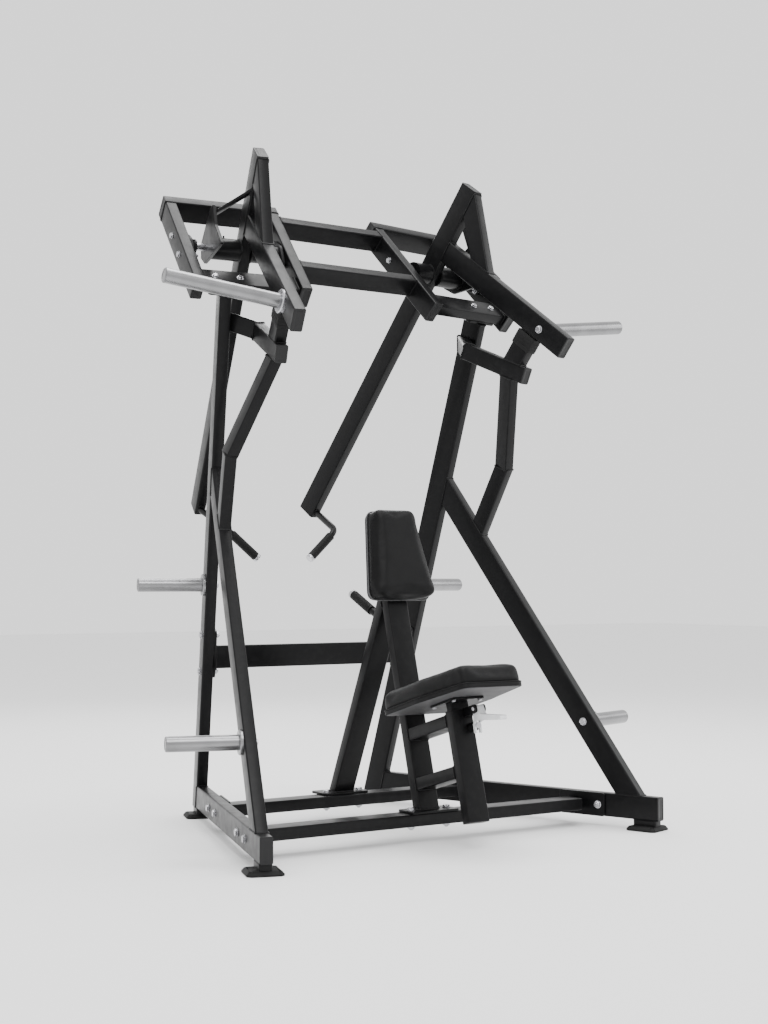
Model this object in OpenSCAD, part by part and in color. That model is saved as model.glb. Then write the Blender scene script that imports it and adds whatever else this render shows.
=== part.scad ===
// Plate-loaded pulldown machine: a splayed base with two leaning rear posts,
// two swinging lever arms, a chest pad and a sliding seat.
// Millimetres, +Z up, +Y to the rear, +X to the right seen from the front.
// The frame is symmetric about X = 0; the origin is the centre of the footprint on the floor.

/* [Tubes] */
// Long side of the main rectangular tube
tube_h = 80; // [70:1:90]
// Short side of the main rectangular tube
tube_w = 40; // [36:1:44]
// Wall thickness of the tubes
wall = 3; // [2:0.5:4]
// Long side of the lighter tube used for the stop struts
strut_h = 60; // [50:1:60]

/* [Base] */
// Half width of the base at the front, at the outer faces
base_half = 750; // [720:5:780]
// Splay of each side frame from straight ahead, degrees
splay = 18; // [16:0.5:20]
// Height of the underside of the base tubes over the floor
base_z = 34; // [30:1:40]
// Forward lean of the rear posts, degrees
post_lean = 15.1; // [14:0.1:16]
// Backward lean of the front legs, degrees
leg_lean = 36; // [35:0.5:37]
// Side of a square floor foot
foot_side = 112; // [100:4:120]
// Height of a floor foot without its post
foot_h = 15; // [12:1:20]

/* [Levers] */
// Height of the lever pivots
pivot_z = 1991; // [1980:1:2000]
// Turn of each lever plane from straight ahead, degrees
lever_splay = 13; // [12:0.5:14]
// Slope of the long arm from level, degrees
arm_slope = 53.4; // [52:0.1:55]
// Length of the long arm below the pivot
arm_down = 1080; // [1000:10:1100]
// Length of the long arm above the pivot
arm_up = 360; // [340:5:380]
// Slope of the weight arm, degrees
weight_slope = 37.3; // [36:0.1:38]
// Diameter of the pivot shafts
shaft_d = 25; // [20:1:30]
// Radial running clearance of the shafts in their bearings
run_gap = 0.05; // [0.02:0.01:0.1]

/* [Plate horns] */
// Diameter of the plate horns
horn_d = 48; // [46:1:50]
// Length of a storage horn beyond the tube face
store_len = 233; // [200:1:260]
// Length of a lever horn beyond the tube face
load_len = 392; // [350:1:400]

/* [Seat and pad] */
// Lean of the seat post and the pad post, degrees
post_rake = 15.6; // [14:0.1:17]
// Width of the seat at the rear
seat_rear_w = 296; // [270:2:310]
// Width of the seat at the front
seat_front_w = 236; // [220:2:250]
// Thickness of the cushions
foam = 60; // [50:1:70]
// Width of the chest pad at the bottom
chest_low_w = 260; // [240:2:270]
// Width of the chest pad at the top
chest_top_w = 172; // [160:2:190]

/* [Hidden] */
mid_y = 607.5;
$fn = 48;
skin = 0.3;
// The root of a plate horn, inside its collar, is a little thinner than the rest
root_d = horn_d - 1;
collar_len = 10;
load_collar_len = 24;
load_sunk = 12;
pivot = [392, 739, pivot_z];
post_t = -1114;
leg_t = 114;
rear_y = 704;
front_y = 181;
weight_end = [638.5, 0, -341];
stub_r = 450;
horn_at = [538, -268];
horn_yaw = 4.7;
horn_rise = 7.7;
axle_at = [392, 727.5, 1987];
axle_splay = 8.3;
stroke = 12;
pin_x = 24;
yoke_at = [-318, 274];

black = [0.11, 0.11, 0.12];
vinyl = [0.07, 0.07, 0.07];
steel = [0.72, 0.72, 0.74];
rubber = [0.05, 0.05, 0.05];

// ---------- frames of reference ----------
module place() translate([0, -mid_y, 0]) children();
// Side frame: +X forward along the frame, +Y outward from its outer face
module side() translate([base_half, 0, 0]) rotate([0, 0, splay - 90]) children();
// Rear post: +Z up the post, X from -tube_h to 0
module up_post() side() translate([post_t, 0, 0]) rotate([0, post_lean, 0]) children();
// Front leg: +Z up the leg, X from -tube_h to 0
module up_leg() side() translate([leg_t, 0, 0]) rotate([0, -leg_lean, 0]) children();
// Pop pin: +Z straight out of the seat post's front face
module pin_line() incline() translate([pin_x, -261, 224]) rotate([90, 0, 0]) children();
// Lever plane: +X forward, +Y outward, origin on the pivot
module lever() translate(pivot) rotate([0, 0, lever_splay - 90]) children();
// Axle: +Y outward along the pivot shaft, +X forward
module axle() translate(axle_at) rotate([0, 0, axle_splay - 90]) children();
axle_off = [(axle_at - pivot) * [sin(lever_splay), -cos(lever_splay), 0], (axle_at - pivot) * [cos(lever_splay), sin(lever_splay), 0], axle_at[2] - pivot[2]];
// The same axle inside the lever's own frame
module axle_in_lever() translate(axle_off) rotate([0, 0, axle_splay - lever_splay]) children();
// Head frame: +X forward and down, +Z forward and up
module head() axle() rotate([0, 45, 0]) children();
// Incline: origin at the foot of the pad post's front face, +Z up the post
module incline() translate([0, 172, 93]) rotate([-post_rake, 0, 0]) children();
// Pad strut: origin at the foot of its front face, +Z up the strut
module up_strut() translate([0, 701, 99]) rotate([24.8, 0, 0]) children();
module flip(on) if (on) mirror([1, 0, 0]) children(); else children();

// ---------- shared shapes ----------
// Hollow tube along +X, w across Y and h across Z, centred on the X axis
module tube(l, h = tube_h, w = tube_w) difference() {
    translate([0, -w / 2, -h / 2]) cube([l, w, h]);
    translate([-1, -w / 2 + wall, -h / 2 + wall]) cube([l + 2, w - 2 * wall, h - 2 * wall]);
}
// Plug with a thin lip that closes a tube; the lip is at X 0 to 3
module cap(h = tube_h, w = tube_w) {
    translate([0, -w / 2, -h / 2]) cube([3, w, h]);
    translate([-14, -w / 2 + wall + 0.2, -h / 2 + wall + 0.2]) cube([14, w - 2 * wall - 0.4, h - 2 * wall - 0.4]);
}
// Hexagon-headed bolt along +Z: the head sits below Z 0, the nut above Z = grip
module bolt(d, grip) {
    translate([0, 0, -0.65 * d]) cylinder(d = 1.8 * d, h = 0.65 * d, $fn = 6);
    cylinder(d = d, h = grip + 0.9 * d);
    translate([0, 0, grip]) cylinder(d = 1.8 * d, h = 0.8 * d, $fn = 6);
}
module cyl_between(a, b, d) {
    v = b - a;
    translate(a) rotate([0, acos(v[2] / norm(v)), atan2(v[1], v[0])]) cylinder(d = d, h = norm(v));
}

// ---------- side frames ----------
module behind_post() translate([post_t, -100, 0]) rotate([0, post_lean, 0]) translate([-600, 0, -500]) cube([600, 200, 4000]);
module above_leg() translate([leg_t, -100, 0]) rotate([0, -leg_lean, 0]) translate([0, 0, -500]) cube([600, 200, 4000]);
// Base flange bolts, on the outer face of the base tube
module base_bolt_spots() for (y = [rear_y, front_y], k = [-65, 65])
    translate([-(y + 20 * sin(splay)) / cos(splay) + k, 0, 74]) rotate([90, 0, 0]) children();
module mid_bolt_spots() for (z = [534, 669]) translate([-40, 0, z]) rotate([90, 0, 0]) children();
// Storage horns: one on the post, one on the leg
module horn_spots() {
    up_post() translate([-40, 0, 850]) children();
    up_leg() translate([-40, 0, 468]) children();
}

module base() side() difference() {
    translate([-1300, -tube_w / 2, base_z + tube_h / 2]) tube(1395);
    behind_post();
    base_bolt_spots() translate([0, 0, -10]) cylinder(d = 12.4, h = 80);
}
module base_cap() side() translate([95, -tube_w / 2, base_z + tube_h / 2]) cap();
module foot(t) side() translate([t, -tube_w / 2, 0]) {
    difference() {
        linear_extrude(foot_h) square(foot_side, center = true);
        for (a = [0:90:270]) rotate(a) {
            translate([foot_side / 2, -100, foot_h - 9]) rotate([0, -45, 0]) cube([40, 200, 40]);
            translate([foot_side / 2, foot_side / 2, 0]) rotate(45) translate([-8.5, -50, -1]) cube([40, 100, 40]);
        }
    }
    translate([-43, -tube_w / 2, foot_h]) cube([86, tube_w, base_z - foot_h]);
}
module feet() { foot(45); foot(-1120); }
module post() difference() {
    up_post() translate([-tube_h / 2, -tube_w / 2, 0]) rotate([0, -90, 0]) tube(2100);
    side() translate([-2000, -100, -200]) cube([3000, 200, 200 + base_z]);
    head() translate([-800, -600, -30]) cube([2000, 1200, 1500]);
    up_post() mid_bolt_spots() translate([0, 0, -10]) cylinder(d = 12.4, h = 80);
    horn_spots() rotate([90, 0, 0]) translate([0, 0, -10]) cylinder(d = 12.4, h = 80);
}
module leg() difference() {
    up_leg() translate([-tube_h / 2, -tube_w / 2, 0]) rotate([0, -90, 0]) tube(1700);
    side() translate([-2000, -100, -200]) cube([3000, 200, 200 + base_z + tube_h]);
    side() behind_post();
    horn_spots() rotate([90, 0, 0]) translate([0, 0, -10]) cylinder(d = 12.4, h = 80);
}
// Centre lines of the stop strut: from the leg to its bend, then to the link
knee = [565, 505, 1260];
tip = [479, 363, 1568];
module stop_strut() {
    // lower piece, in the side plane
    difference() {
        side() translate([-643, -tube_w / 2, 1044]) rotate([0, 26, 0]) rotate([0, -90, 0]) translate([-120, 0, 0]) tube(420, strut_h);
        side() difference() {
            translate([-3000, -100, -500]) cube([6000, 200, 3000]);
            above_leg();
        }
        knee_cut(1);
    }
    // upper piece, turned inward under the link
    difference() {
        upper_piece();
        knee_cut(-1);
        link_side(-1);
    }
}
module upper_piece() {
    v = tip - knee;
    translate(knee) rotate([0, acos(v[2] / norm(v)), atan2(v[1], v[0])]) rotate([0, 0, 35.5])
        rotate([0, -90, 0]) translate([-80, 0, 0]) tube(norm(v) + 160, strut_h);
}
// Everything past the bisecting plane of the bend, on one side
module knee_cut(s) {
    a = [0.1355 * 1, -0.4169, 0.8988];
    v = (tip - knee) / norm(tip - knee);
    m = a + v;
    translate(knee) rotate([0, acos(m[2] / norm(m)), atan2(m[1], m[0])])
        translate([-200, -200, s > 0 ? 0 : -400]) cube([400, 400, 400]);
}
// Stop link in the lever plane: underside line from (193,-342) sloping 22.7 degrees down
link_slope = 22.7;
module link_line() lever() translate([193, 0, -310]) rotate([0, link_slope, 0]) children();
module link_side(s) link_line() translate([-400, -200, s > 0 ? strut_h / 2 : -strut_h / 2]) cube([1200, 400, 600]);
module stop_link() {
    // front piece, under the weight arm
    difference() {
        link_line() translate([-80, 0, 0]) tube(373, strut_h);
        link_knee(-1);
    }
    // rear piece, from the inner face of the post
    difference() {
        rear_piece();
        link_knee(1);
        side() translate([-2000, -tube_w, -200]) cube([3000, 400, 3000]);
    }
    // stub that carries the bumper, square to the weight arm
    difference() {
        stub_line() rotate([0, -90, 0]) translate([-120, 0, 0]) tube(165);
        link_line() translate([-400, -200, -strut_h / 2 - 400]) cube([1200, 400, 400 + strut_h]);
    }
}
module stub_line() lever() translate([stub_r, 0, -320]) rotate([0, 90 - 52.7, 0]) children();
link_knee_at = [435.5, 551, 1681];
post_side_at = [500, 668, 1730];
module rear_piece() {
    v = post_side_at - link_knee_at;
    translate(link_knee_at) rotate([0, 0, atan2(v[1], v[0])]) rotate([0, -asin(v[2] / norm(v)), 0])
        translate([-80, 0, 0]) tube(norm(v) + 160, strut_h);
}
module link_knee(s) {
    v = (post_side_at - link_knee_at) / norm(post_side_at - link_knee_at);
    f = [sin(lever_splay) * cos(link_slope), -cos(lever_splay) * cos(link_slope), -sin(link_slope)];
    m = f - v;
    translate(link_knee_at) rotate([0, acos(m[2] / norm(m)), atan2(m[1], m[0])])
        translate([-200, -200, s > 0 ? 0 : -400]) cube([400, 400, 400]);
}
module bumper() stub_line() difference() {
    translate([-tube_h / 2 - 4, -tube_w / 2 - 3, 0]) cube([tube_h + 8, tube_w + 6, 54]);
    translate([-tube_h / 2 - skin, -tube_w / 2 - skin, -1]) cube([tube_h + 2 * skin, tube_w + 2 * skin, 47]);
}
module stored_horn() rotate([-90, 0, 0]) difference() {
    union() {
        cylinder(d = root_d, h = collar_len + 2);
        translate([0, 0, collar_len + 1]) cylinder(d = horn_d, h = store_len - collar_len - 4);
        translate([0, 0, store_len - 3]) cylinder(d1 = horn_d, d2 = horn_d - 6, h = 3);
    }
    translate([0, 0, 30]) cylinder(d = horn_d - 8, h = store_len - 38);
    translate([0, 0, -1]) cylinder(d = 12.2, h = 22);
}
module collar(len = collar_len) rotate([-90, 0, 0]) difference() {
    union() {
        cylinder(d = 78, h = len - 3);
        translate([0, 0, len - 3]) cylinder(d1 = 78, d2 = 72, h = 3);
    }
    translate([0, 0, -1]) cylinder(d = root_d + 0.2, h = len + 2);
}

// ---------- cross members ----------
module cross(y) difference() {
    union() {
        translate([-620, y, base_z + tube_h / 2]) rotate([90, 0, 0]) tube(1240);
        for (s = [0, 1]) flip(s) side() translate([-(y + 20 * sin(splay)) / cos(splay) - 90, -tube_w - 8, base_z]) cube([180, 8, tube_h]);
    }
    for (s = [0, 1]) flip(s) side() {
        difference() {
            translate([-1600, -tube_w - 8, -50]) cube([2000, 400, 300]);
            translate([-(y + 20 * sin(splay)) / cos(splay) - 90, -tube_w - 8, base_z]) cube([180, 8, tube_h]);
        }
        base_bolt_spots() cylinder(d = 12.4, h = 80);
    }
    for (k = [-1, 1]) translate([k * (y > 400 ? 67 : 70), y > 400 ? 712 : front_y, 0]) cylinder(d = 12.4, h = 200);
}
module mid() difference() {
    union() {
        difference() {
            translate([-620, 920, 578]) tube(1240);
            for (s = [0, 1]) flip(s) side() translate([-1600, -tube_w - 7.5, 300]) cube([2000, 400, 600]);
        }
        for (s = [0, 1]) flip(s) up_post() translate([-76, -tube_w - 8, 520]) cube([72, 8, 170]);
    }
    for (s = [0, 1]) flip(s) up_post() mid_bolt_spots() cylinder(d = 12.4, h = 80);
}

// ---------- head ----------
module rail(y) difference() {
    translate([-208, y + tube_w / 2, 0]) tube(460);
    translate([0, y - 1, 0]) rotate([-90, 0, 0]) cylinder(d = 34, h = tube_w + 2);
    for (k = [-56, 56]) translate([k, y - 1, 0]) rotate([-90, 0, 0]) cylinder(d = 10.4, h = tube_w + 2);
}
module head_tubes() {
    translate([-228, -167, 0]) rotate([0, 0, 90]) tube(414);
    difference() {
        translate([200, -130, 0]) rotate([0, 0, 90]) rotate([90, 0, 0]) tube(340);
        flange_bolt_spots() translate([0, 0, -20]) cylinder(d = 10.4, h = 100);
    }
}
module tube_caps() {
    for (s = [0, 1]) flip(s) {
        base_cap();
        head_caps();
        link_line() translate([293, 0, 0]) cap(strut_h);
    }
    incline() {
        translate([0, 20, 947]) rotate([0, -90, 0]) cap();
        translate([0, -241, -69]) rotate([0, 90, 0]) cap();
    }
}
module head_caps() head() {
    for (y = [-150, 230]) translate([252, y, 0]) cap();
    translate([-228, -167, 0]) rotate([0, 0, -90]) cap();
    translate([-228, 247, 0]) rotate([0, 0, 90]) cap();
}
module flange_bolt_spots() for (y = [74, 162]) translate([200, y, -30]) children();
module post_flange() difference() {
    translate([160, 53, -30]) cube([80, 130, 10]);
    flange_bolt_spots() translate([0, 0, -20]) cylinder(d = 10.4, h = 100);
}
// Beam along X between the two inner rails, at distance s along the head plane
module beam(s) difference() {
    translate([-700, pivot[1] - 165 * sin(lever_splay) - s / sqrt(2) * cos(lever_splay), pivot_z - s / sqrt(2)])
        rotate([45, 0, 0]) tube(1400, 70, 40);
    for (k = [0, 1]) flip(k) head() translate([-600, -170, -600]) cube([1200, 900, 1200]);
}
module bearing() {
    difference() {
        union() {
            cylinder(d = 50, h = 30);
            cylinder(d = 66, h = 13);
            translate([-56, -14.5, 0]) cube([112, 29, 12.7]);
            for (k = [-56, 56]) translate([k, 0, 0]) cylinder(d = 30, h = 12.9);
        }
        translate([0, 0, -1]) cylinder(r = shaft_d / 2 + run_gap, h = 40);
        for (k = [-56, 56]) translate([k, 0, -1]) cylinder(d = 10.4, h = 20);
    }
}

// ---------- centre ----------
module rear_strut() difference() {
    union() {
        up_strut() translate([0, 20, -60]) rotate([0, -90, 0]) tube(1000);
        translate([-90, 680, base_z + 60]) cube([180, 100, 8]);
    }
    translate([-200, 500, -100]) cube([400, 500, 100 + base_z + 60]);
    difference() {
        translate([-45, 600, 0]) cube([90, 300, base_z + 68]);
        translate([-90, 680, base_z + 60]) cube([180, 100, 8]);
    }
    incline() translate([-200, -1500, -200]) cube([400, 1540, 2000]);
    for (x = [-67, 67]) translate([x, 712, 0]) cylinder(d = 12.4, h = 200);
}
module foot_bolts() {
    for (x = [-67, 67]) translate([x, 712, base_z + 68]) mirror([0, 0, 1]) bolt(12, 48);
    for (x = [-70, 70]) translate([x, front_y, base_z + 68]) mirror([0, 0, 1]) bolt(12, 48);
}
module front_post() difference() {
    union() {
        incline() translate([0, 20, -60]) rotate([0, -90, 0]) tube(1007);
        translate([-92, 136, base_z + 60]) cube([184, 90, 8]);
    }
    translate([-200, -100, -100]) cube([400, 600, 100 + base_z + 60]);
    difference() {
        translate([-45, 100, 0]) cube([90, 200, base_z + 68]);
        translate([-92, 136, base_z + 60]) cube([184, 90, 8]);
    }
    for (x = [-70, 70]) translate([x, front_y, 0]) cylinder(d = 12.4, h = 200);
}
module rider_post() incline() difference() {
    translate([0, -241, -69]) rotate([0, -90, 0]) tube(352);
    translate([pin_x, -300, 224]) rotate([-90, 0, 0]) cylinder(d = 13, h = 50);
}
module rungs() incline() for (z = [72.5, 236]) translate([0, -221, z + 20]) rotate([0, 0, 90]) rotate([90, 0, 0]) tube(221);

module chest_outline(d) offset(delta = -d) offset(r = 36) offset(delta = -36)
    polygon([[-chest_low_w / 2, -10], [chest_low_w / 2, -10], [chest_top_w / 2, 307], [-chest_top_w / 2, 307]]);
module chest(y, t, d) incline() translate([0, y, 716]) rotate([90, 0, 0]) linear_extrude(t) chest_outline(d);
module seat_outline(d) offset(delta = -d) offset(r = 30) offset(delta = -30)
    polygon([[-seat_front_w / 2, -452], [seat_front_w / 2, -452], [seat_rear_w / 2, -230], [seat_rear_w / 2, -20], [-seat_rear_w / 2, -20], [-seat_rear_w / 2, -230]]);

module grab_grip() up_strut() translate([0, 40, 659]) rotate([-90, 0, 0]) difference() {
    translate([0, 0, 67]) cylinder(d = 33, h = 128);
    cylinder(d = 25.2, h = 300);
}
module grab_cap() up_strut() translate([0, 40, 659]) rotate([-90, 0, 0]) translate([0, 0, 195.2]) cylinder(d = 33, h = 12);
module grab_bar() up_strut() translate([0, 40, 659]) rotate([-90, 0, 0]) {
    cylinder(d = 25, h = 195);
    translate([0, 0, 0]) cylinder(d = 40, h = 5);
}

// ---------- levers ----------
module arm_line() translate([0, 0, 0]) rotate([0, 180 - arm_slope, 0]) children();
module weight_line() translate(weight_end) rotate([0, weight_slope, 0]) children();
// Space on the rear side of the arm's front face
module behind_arm() arm_line() translate([-1500, -400, tube_h / 2 - 1000]) cube([4000, 800, 1000]);
module arm() difference() {
    arm_line() translate([-arm_up, 0, 0]) tube(arm_up + arm_down);
    axle_in_lever() translate([0, -50, 0]) rotate([-90, 0, 0]) cylinder(d = shaft_d + 0.1, h = 100);
}
module weight_arm() {
    difference() {
        weight_line() translate([-760, 0, 0]) tube(760);
        behind_arm();
        translate([horn_at[0], -50, horn_at[1]]) rotate([-90, 0, 0]) cylinder(d = 12.4, h = 100);
    }
    // front tube between the arm and the weight arm
    difference() {
        translate([307, 0, -42]) rotate([0, 78.4, 0]) translate([-420, 0, -35]) tube(520, 70);
        behind_arm();
        weight_line() translate([-900, -100, tube_h / 2 - 400]) cube([1100, 200, 400.1]);
    }
}
module hub() {
    for (s = [[20, 130], [-92, -20]]) difference() {
        axle_in_lever() translate([0, s[0] - 20, 0]) rotate([-90, 0, 0]) cylinder(d = 76, h = s[1] - s[0] + 40);
        axle_in_lever() translate([0, -200, 0]) rotate([-90, 0, 0]) cylinder(d = shaft_d + 0.1, h = 400);
        translate([-300, s[0] - 400, -200]) cube([600, 400, 400]);
        translate([-300, s[1], -200]) cube([600, 400, 400]);
    }
    // outer cheek plate
    difference() {
        translate([0, 142, 0]) rotate([90, 0, 0])
            linear_extrude(12) polygon([[98, 122], [125, 122], [152, 48], [239, -31], [9, -57], [-40, -30], [-40, 20], [29, 74]]);
        axle_in_lever() translate([0, 0, 0]) rotate([-90, 0, 0]) cylinder(d = shaft_d + 0.1, h = 400);
    }
    // flat brace from the arm out to the cheek
    difference() {
        translate([172, 0, 182]) rotate([0, 0, 27.7]) rotate([-30.1, 0, 0]) translate([-14, 0, -5]) cube([28, 190, 10]);
        translate([-300, -200, -200]) cube([900, 200 + tube_w / 2, 900]);
        translate([-300, 130, -200]) cube([900, 200, 900]);
    }
}
module load_horn_line() translate([horn_at[0], tube_w / 2, horn_at[1]]) rotate([horn_rise, 0, -horn_yaw]) children();
module load_horn() difference() {
    load_horn_line() rotate([-90, 0, 0]) difference() {
        union() {
            translate([0, 0, -load_sunk]) cylinder(d = root_d, h = load_collar_len + 2);
            translate([0, 0, load_collar_len - load_sunk + 1]) cylinder(d = horn_d, h = load_len - load_collar_len + load_sunk - 4);
            translate([0, 0, load_len - 3]) cylinder(d1 = horn_d, d2 = horn_d - 6, h = 3);
        }
        translate([0, 0, 30]) cylinder(d = horn_d - 8, h = load_len - 38);
    }
    translate([300, -200, -500]) cube([500, 200 + tube_w / 2, 500]);
    translate([horn_at[0], -50, horn_at[1]]) rotate([-90, 0, 0]) cylinder(d = 12.2, h = 96);
}
module load_collar() difference() {
    load_horn_line() translate([0, -load_sunk, 0]) collar(load_collar_len);
    translate([300, -200, -500]) cube([500, 200 + tube_w / 2, 500]);
}
handle_root = [-601, 0, -874];
handle_bend = [-436.5, -55, -949];
handle_end = [-449, -180.5, -1059];
handle_dir = (handle_end - handle_bend) / norm(handle_end - handle_bend);
module handle_bar() {
    difference() {
        cyl_between(handle_root - (handle_bend - handle_root) * 0.15, handle_bend, 25);
        behind_arm();
    }
    translate(handle_bend) sphere(d = 26);
    cyl_between(handle_bend, handle_bend + handle_dir * 160, 25);
}
module handle_grip() difference() {
    cyl_between(handle_bend + handle_dir * 32, handle_bend + handle_dir * 160, 33);
    cyl_between(handle_bend, handle_bend + handle_dir * 200, 25.2);
}
module handle_cap() cyl_between(handle_bend + handle_dir * 160.2, handle_bend + handle_dir * 172, 33);
module lever_caps() {
    arm_line() {
        translate([arm_down, 0, 0]) cap();
        translate([-arm_up, 0, 0]) rotate([0, 180, 0]) cap();
    }
    weight_line() cap();
}
module lever_fittings() {
    load_collar();
    shaft();
    translate([horn_at[0], -20, horn_at[1]]) rotate([-90, 0, 0]) {
        translate([0, 0, -8]) cylinder(d = 21, h = 8, $fn = 6);
        cylinder(d = 12, h = 60);
    }
    handle_cap();
}
module shaft() axle_in_lever() translate([0, -168, 0]) rotate([-90, 0, 0]) cylinder(d = shaft_d, h = 416);

// ---------- seat ----------
module seat_stem() incline() {
    difference() {
        translate([0, -241, 80]) rotate([0, -90, 0]) difference() {
            translate([0, -15, -34]) cube([228, 30, 68]);
            translate([-1, -12, -31]) cube([230, 24, 62]);
        }
        for (z = [119:35:224]) translate([pin_x, -262, z]) rotate([-90, 0, 0]) cylinder(d = 13, h = 12);
    }
    difference() {
        translate([-60, -311, 308]) cube([120, 140, 8]);
        seat_bolt_spots() cylinder(d = 8.4, h = 60, center = true);
    }
}
module seat_bolt_spots() for (x = [-51, 51], y = [-296, -186]) translate([x, y, 308]) children();
module seat_board() incline() difference() {
    translate([0, 0, 316]) linear_extrude(14) seat_outline(2);
    seat_bolt_spots() cylinder(d = 8.2, h = 60, center = true);
}
module seat_cushion() incline() translate([0, 0, 330]) linear_extrude(foam) seat_outline(0);
module seat_bolts() incline() seat_bolt_spots() {
    translate([0, 0, -5]) cylinder(d = 14, h = 5, $fn = 6);
    cylinder(d = 8, h = 21);
}
// Plastic bush in the mouth of the seat post
module seat_bush() incline() difference() {
    translate([-36.8, -257.8, 246]) cube([73.6, 33.6, 40]);
    translate([-34.3, -256.3, 245]) cube([68.6, 30.6, 42]);
}

// ---------- adjuster ----------
module adjuster_body() {
    pin_line() difference() {
        cylinder(d = 30, h = 26);
        translate([0, 0, -1]) cylinder(d = 20, h = 24);
        cylinder(d = 12.4, h = 40);
    }
    // yoke: two ears on a back plate
    incline() difference() {
        union() {
            for (x = [pin_x - 20, pin_x + 14]) translate([x, yoke_at[0] - 12, yoke_at[1] - 14]) cube([6, 69, 28]);
            translate([pin_x - 20, -267, yoke_at[1] - 14]) cube([40, 6, 28]);
        }
        translate([pin_x - 30, yoke_at[0], yoke_at[1]]) rotate([0, 90, 0]) cylinder(d = 8.1, h = 60);
    }
}
module adjuster_pin() pin_line() {
    translate([0, 0, -2.8]) cylinder(d = 12, h = 42);
    translate([0, 0, 2]) cylinder(d = 17, h = 3);
    translate([0, 0, 39]) cylinder(d = 20, h = 6);
}
// Coil spring round the pin, drawn as its turns
module adjuster_spring() pin_line() for (z = [18.4:1.6:21.6]) translate([0, 0, z]) rotate_extrude() translate([8, 0]) circle(d = 1.4, $fn = 16);
module adjuster_lever() incline() difference() {
    union() {
        translate([pin_x - 13, 0, 0]) rotate([90, 0, 90]) linear_extrude(26)
            polygon([[-330, 272], [-324, 284], [-312, 284], [-305, 270], [-298.5, 240], [-292, 224], [-292, 200], [-299, 200], [-299, 234],
                [-318, 236], [-435, 216], [-437, 228], [-332, 254]]);
    }
    translate([pin_x - 6.6, -320, 190]) cube([13.2, 40, 43]);
    translate([pin_x - 14, -310, 209]) cube([28, 11.2, 29]);
    translate([pin_x - 30, yoke_at[0], yoke_at[1]]) rotate([0, 90, 0]) cylinder(d = 8.2, h = 60);
}
module adjuster_pivot() incline() translate([pin_x - 24, yoke_at[0], yoke_at[1]]) rotate([0, 90, 0]) {
    cylinder(d = 8, h = 48);
    cylinder(d = 13, h = 4);
}

// ---------- fasteners ----------
module short_bolt() {
    translate([0, 0, -8]) cylinder(d = 21.6, h = 8, $fn = 6);
    cylinder(d = 12, h = tube_w + 18);
}
module frame_bolts() for (s = [0, 1]) flip(s) {
    horn_spots() translate([0, -tube_w, 0]) rotate([-90, 0, 0]) short_bolt();
    side() base_bolt_spots() bolt(12, tube_w + 8);
    if (s == 0) {
        foot_bolts();
        adjuster_pivot();
    }
    up_post() mid_bolt_spots() bolt(12, tube_w + 8);
}
module head_bolts() for (s = [0, 1]) flip(s) head() {
    for (y = [-170, 250], k = [-56, 56]) translate([k, y, 0]) rotate([y < 0 ? -90 : 90, 0, 0]) bolt(10, tube_w + 13);
    flange_bolt_spots() translate([0, 0, 50]) mirror([0, 0, 1]) bolt(10, 50);
}

module bearing_pair() {
    translate([0, -130, 0]) rotate([-90, 0, 0]) bearing();
    translate([0, 210, 0]) rotate([90, 0, 0]) bearing();
}
module part_colour(c) color(c) place() children();

part_colour(black) flip(1) base();  // base_left
part_colour(black) base();  // base_right
part_colour(rubber) tube_caps();  // base_caps
part_colour(black) for (s = [0, 1]) flip(s) feet();
part_colour(black) cross(rear_y);  // cross_rear
part_colour(black) cross(front_y);  // cross_front
part_colour(black) flip(1) { post(); head() post_flange(); }  // rear_post_left
part_colour(black) { post(); head() post_flange(); }  // rear_post_right
part_colour(black) flip(1) leg();  // front_leg_left
part_colour(black) leg();  // front_leg_right
part_colour(black) flip(1) stop_strut();  // stop_strut_left
part_colour(black) stop_strut();  // stop_strut_right
part_colour(black) flip(1) stop_link();  // stop_link_left
part_colour(black) stop_link();  // stop_link_right
part_colour(rubber) for (s = [0, 1]) flip(s) bumper();  // stop_bumpers
part_colour(black) mid();  // mid_beam
part_colour(black) flip(1) head() rail(-170);  // inner_rail_left
part_colour(black) head() rail(-170);  // inner_rail_right
part_colour(black) flip(1) head() rail(210);  // outer_rail_left
part_colour(black) head() rail(210);  // outer_rail_right
part_colour(black) flip(1) head() head_tubes();  // head_tubes_left
part_colour(black) head() head_tubes();  // head_tubes_right
part_colour(black) { beam(-167); beam(105); }  // head_beams
part_colour(black) rear_strut();  // pad_strut
part_colour(black) front_post();  // pad_post
part_colour(black) rider_post();  // seat_post
part_colour(black) rungs();  // seat_rungs
part_colour(rubber) chest(0, 15, 6);  // chest_board
part_colour(vinyl) chest(-15, foam, 0);  // chest_cushion
part_colour(black) grab_bar();  // stabiliser_bar
part_colour(rubber) grab_grip();  // stabiliser_grip
part_colour(steel) grab_cap();  // stabiliser_cap
part_colour(steel) for (s = [0, 1]) flip(s) horn_spots() { stored_horn(); collar(); }  // storage_horns
part_colour(black) for (s = [0, 1]) flip(s) head() bearing_pair();  // bearings
part_colour(steel) { frame_bolts(); head_bolts(); }
part_colour(black) flip(1) lever() arm();  // lever_arm_left
part_colour(black) flip(1) lever() weight_arm();  // weight_arm_left
part_colour(black) flip(1) lever() hub();  // lever_hub_left
part_colour(steel) flip(1) lever() load_horn();  // lever_horn_left
part_colour(steel) flip(1) lever() lever_fittings();  // lever_fittings_left
part_colour(rubber) flip(1) lever() lever_caps();  // lever_caps_left
part_colour(black) flip(1) lever() handle_bar();  // handle_bar_left
part_colour(rubber) flip(1) lever() handle_grip();  // handle_grip_left
part_colour(black) lever() arm();  // lever_arm_right
part_colour(black) lever() weight_arm();  // weight_arm_right
part_colour(black) lever() hub();  // lever_hub_right
part_colour(steel) lever() load_horn();  // lever_horn_right
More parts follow.
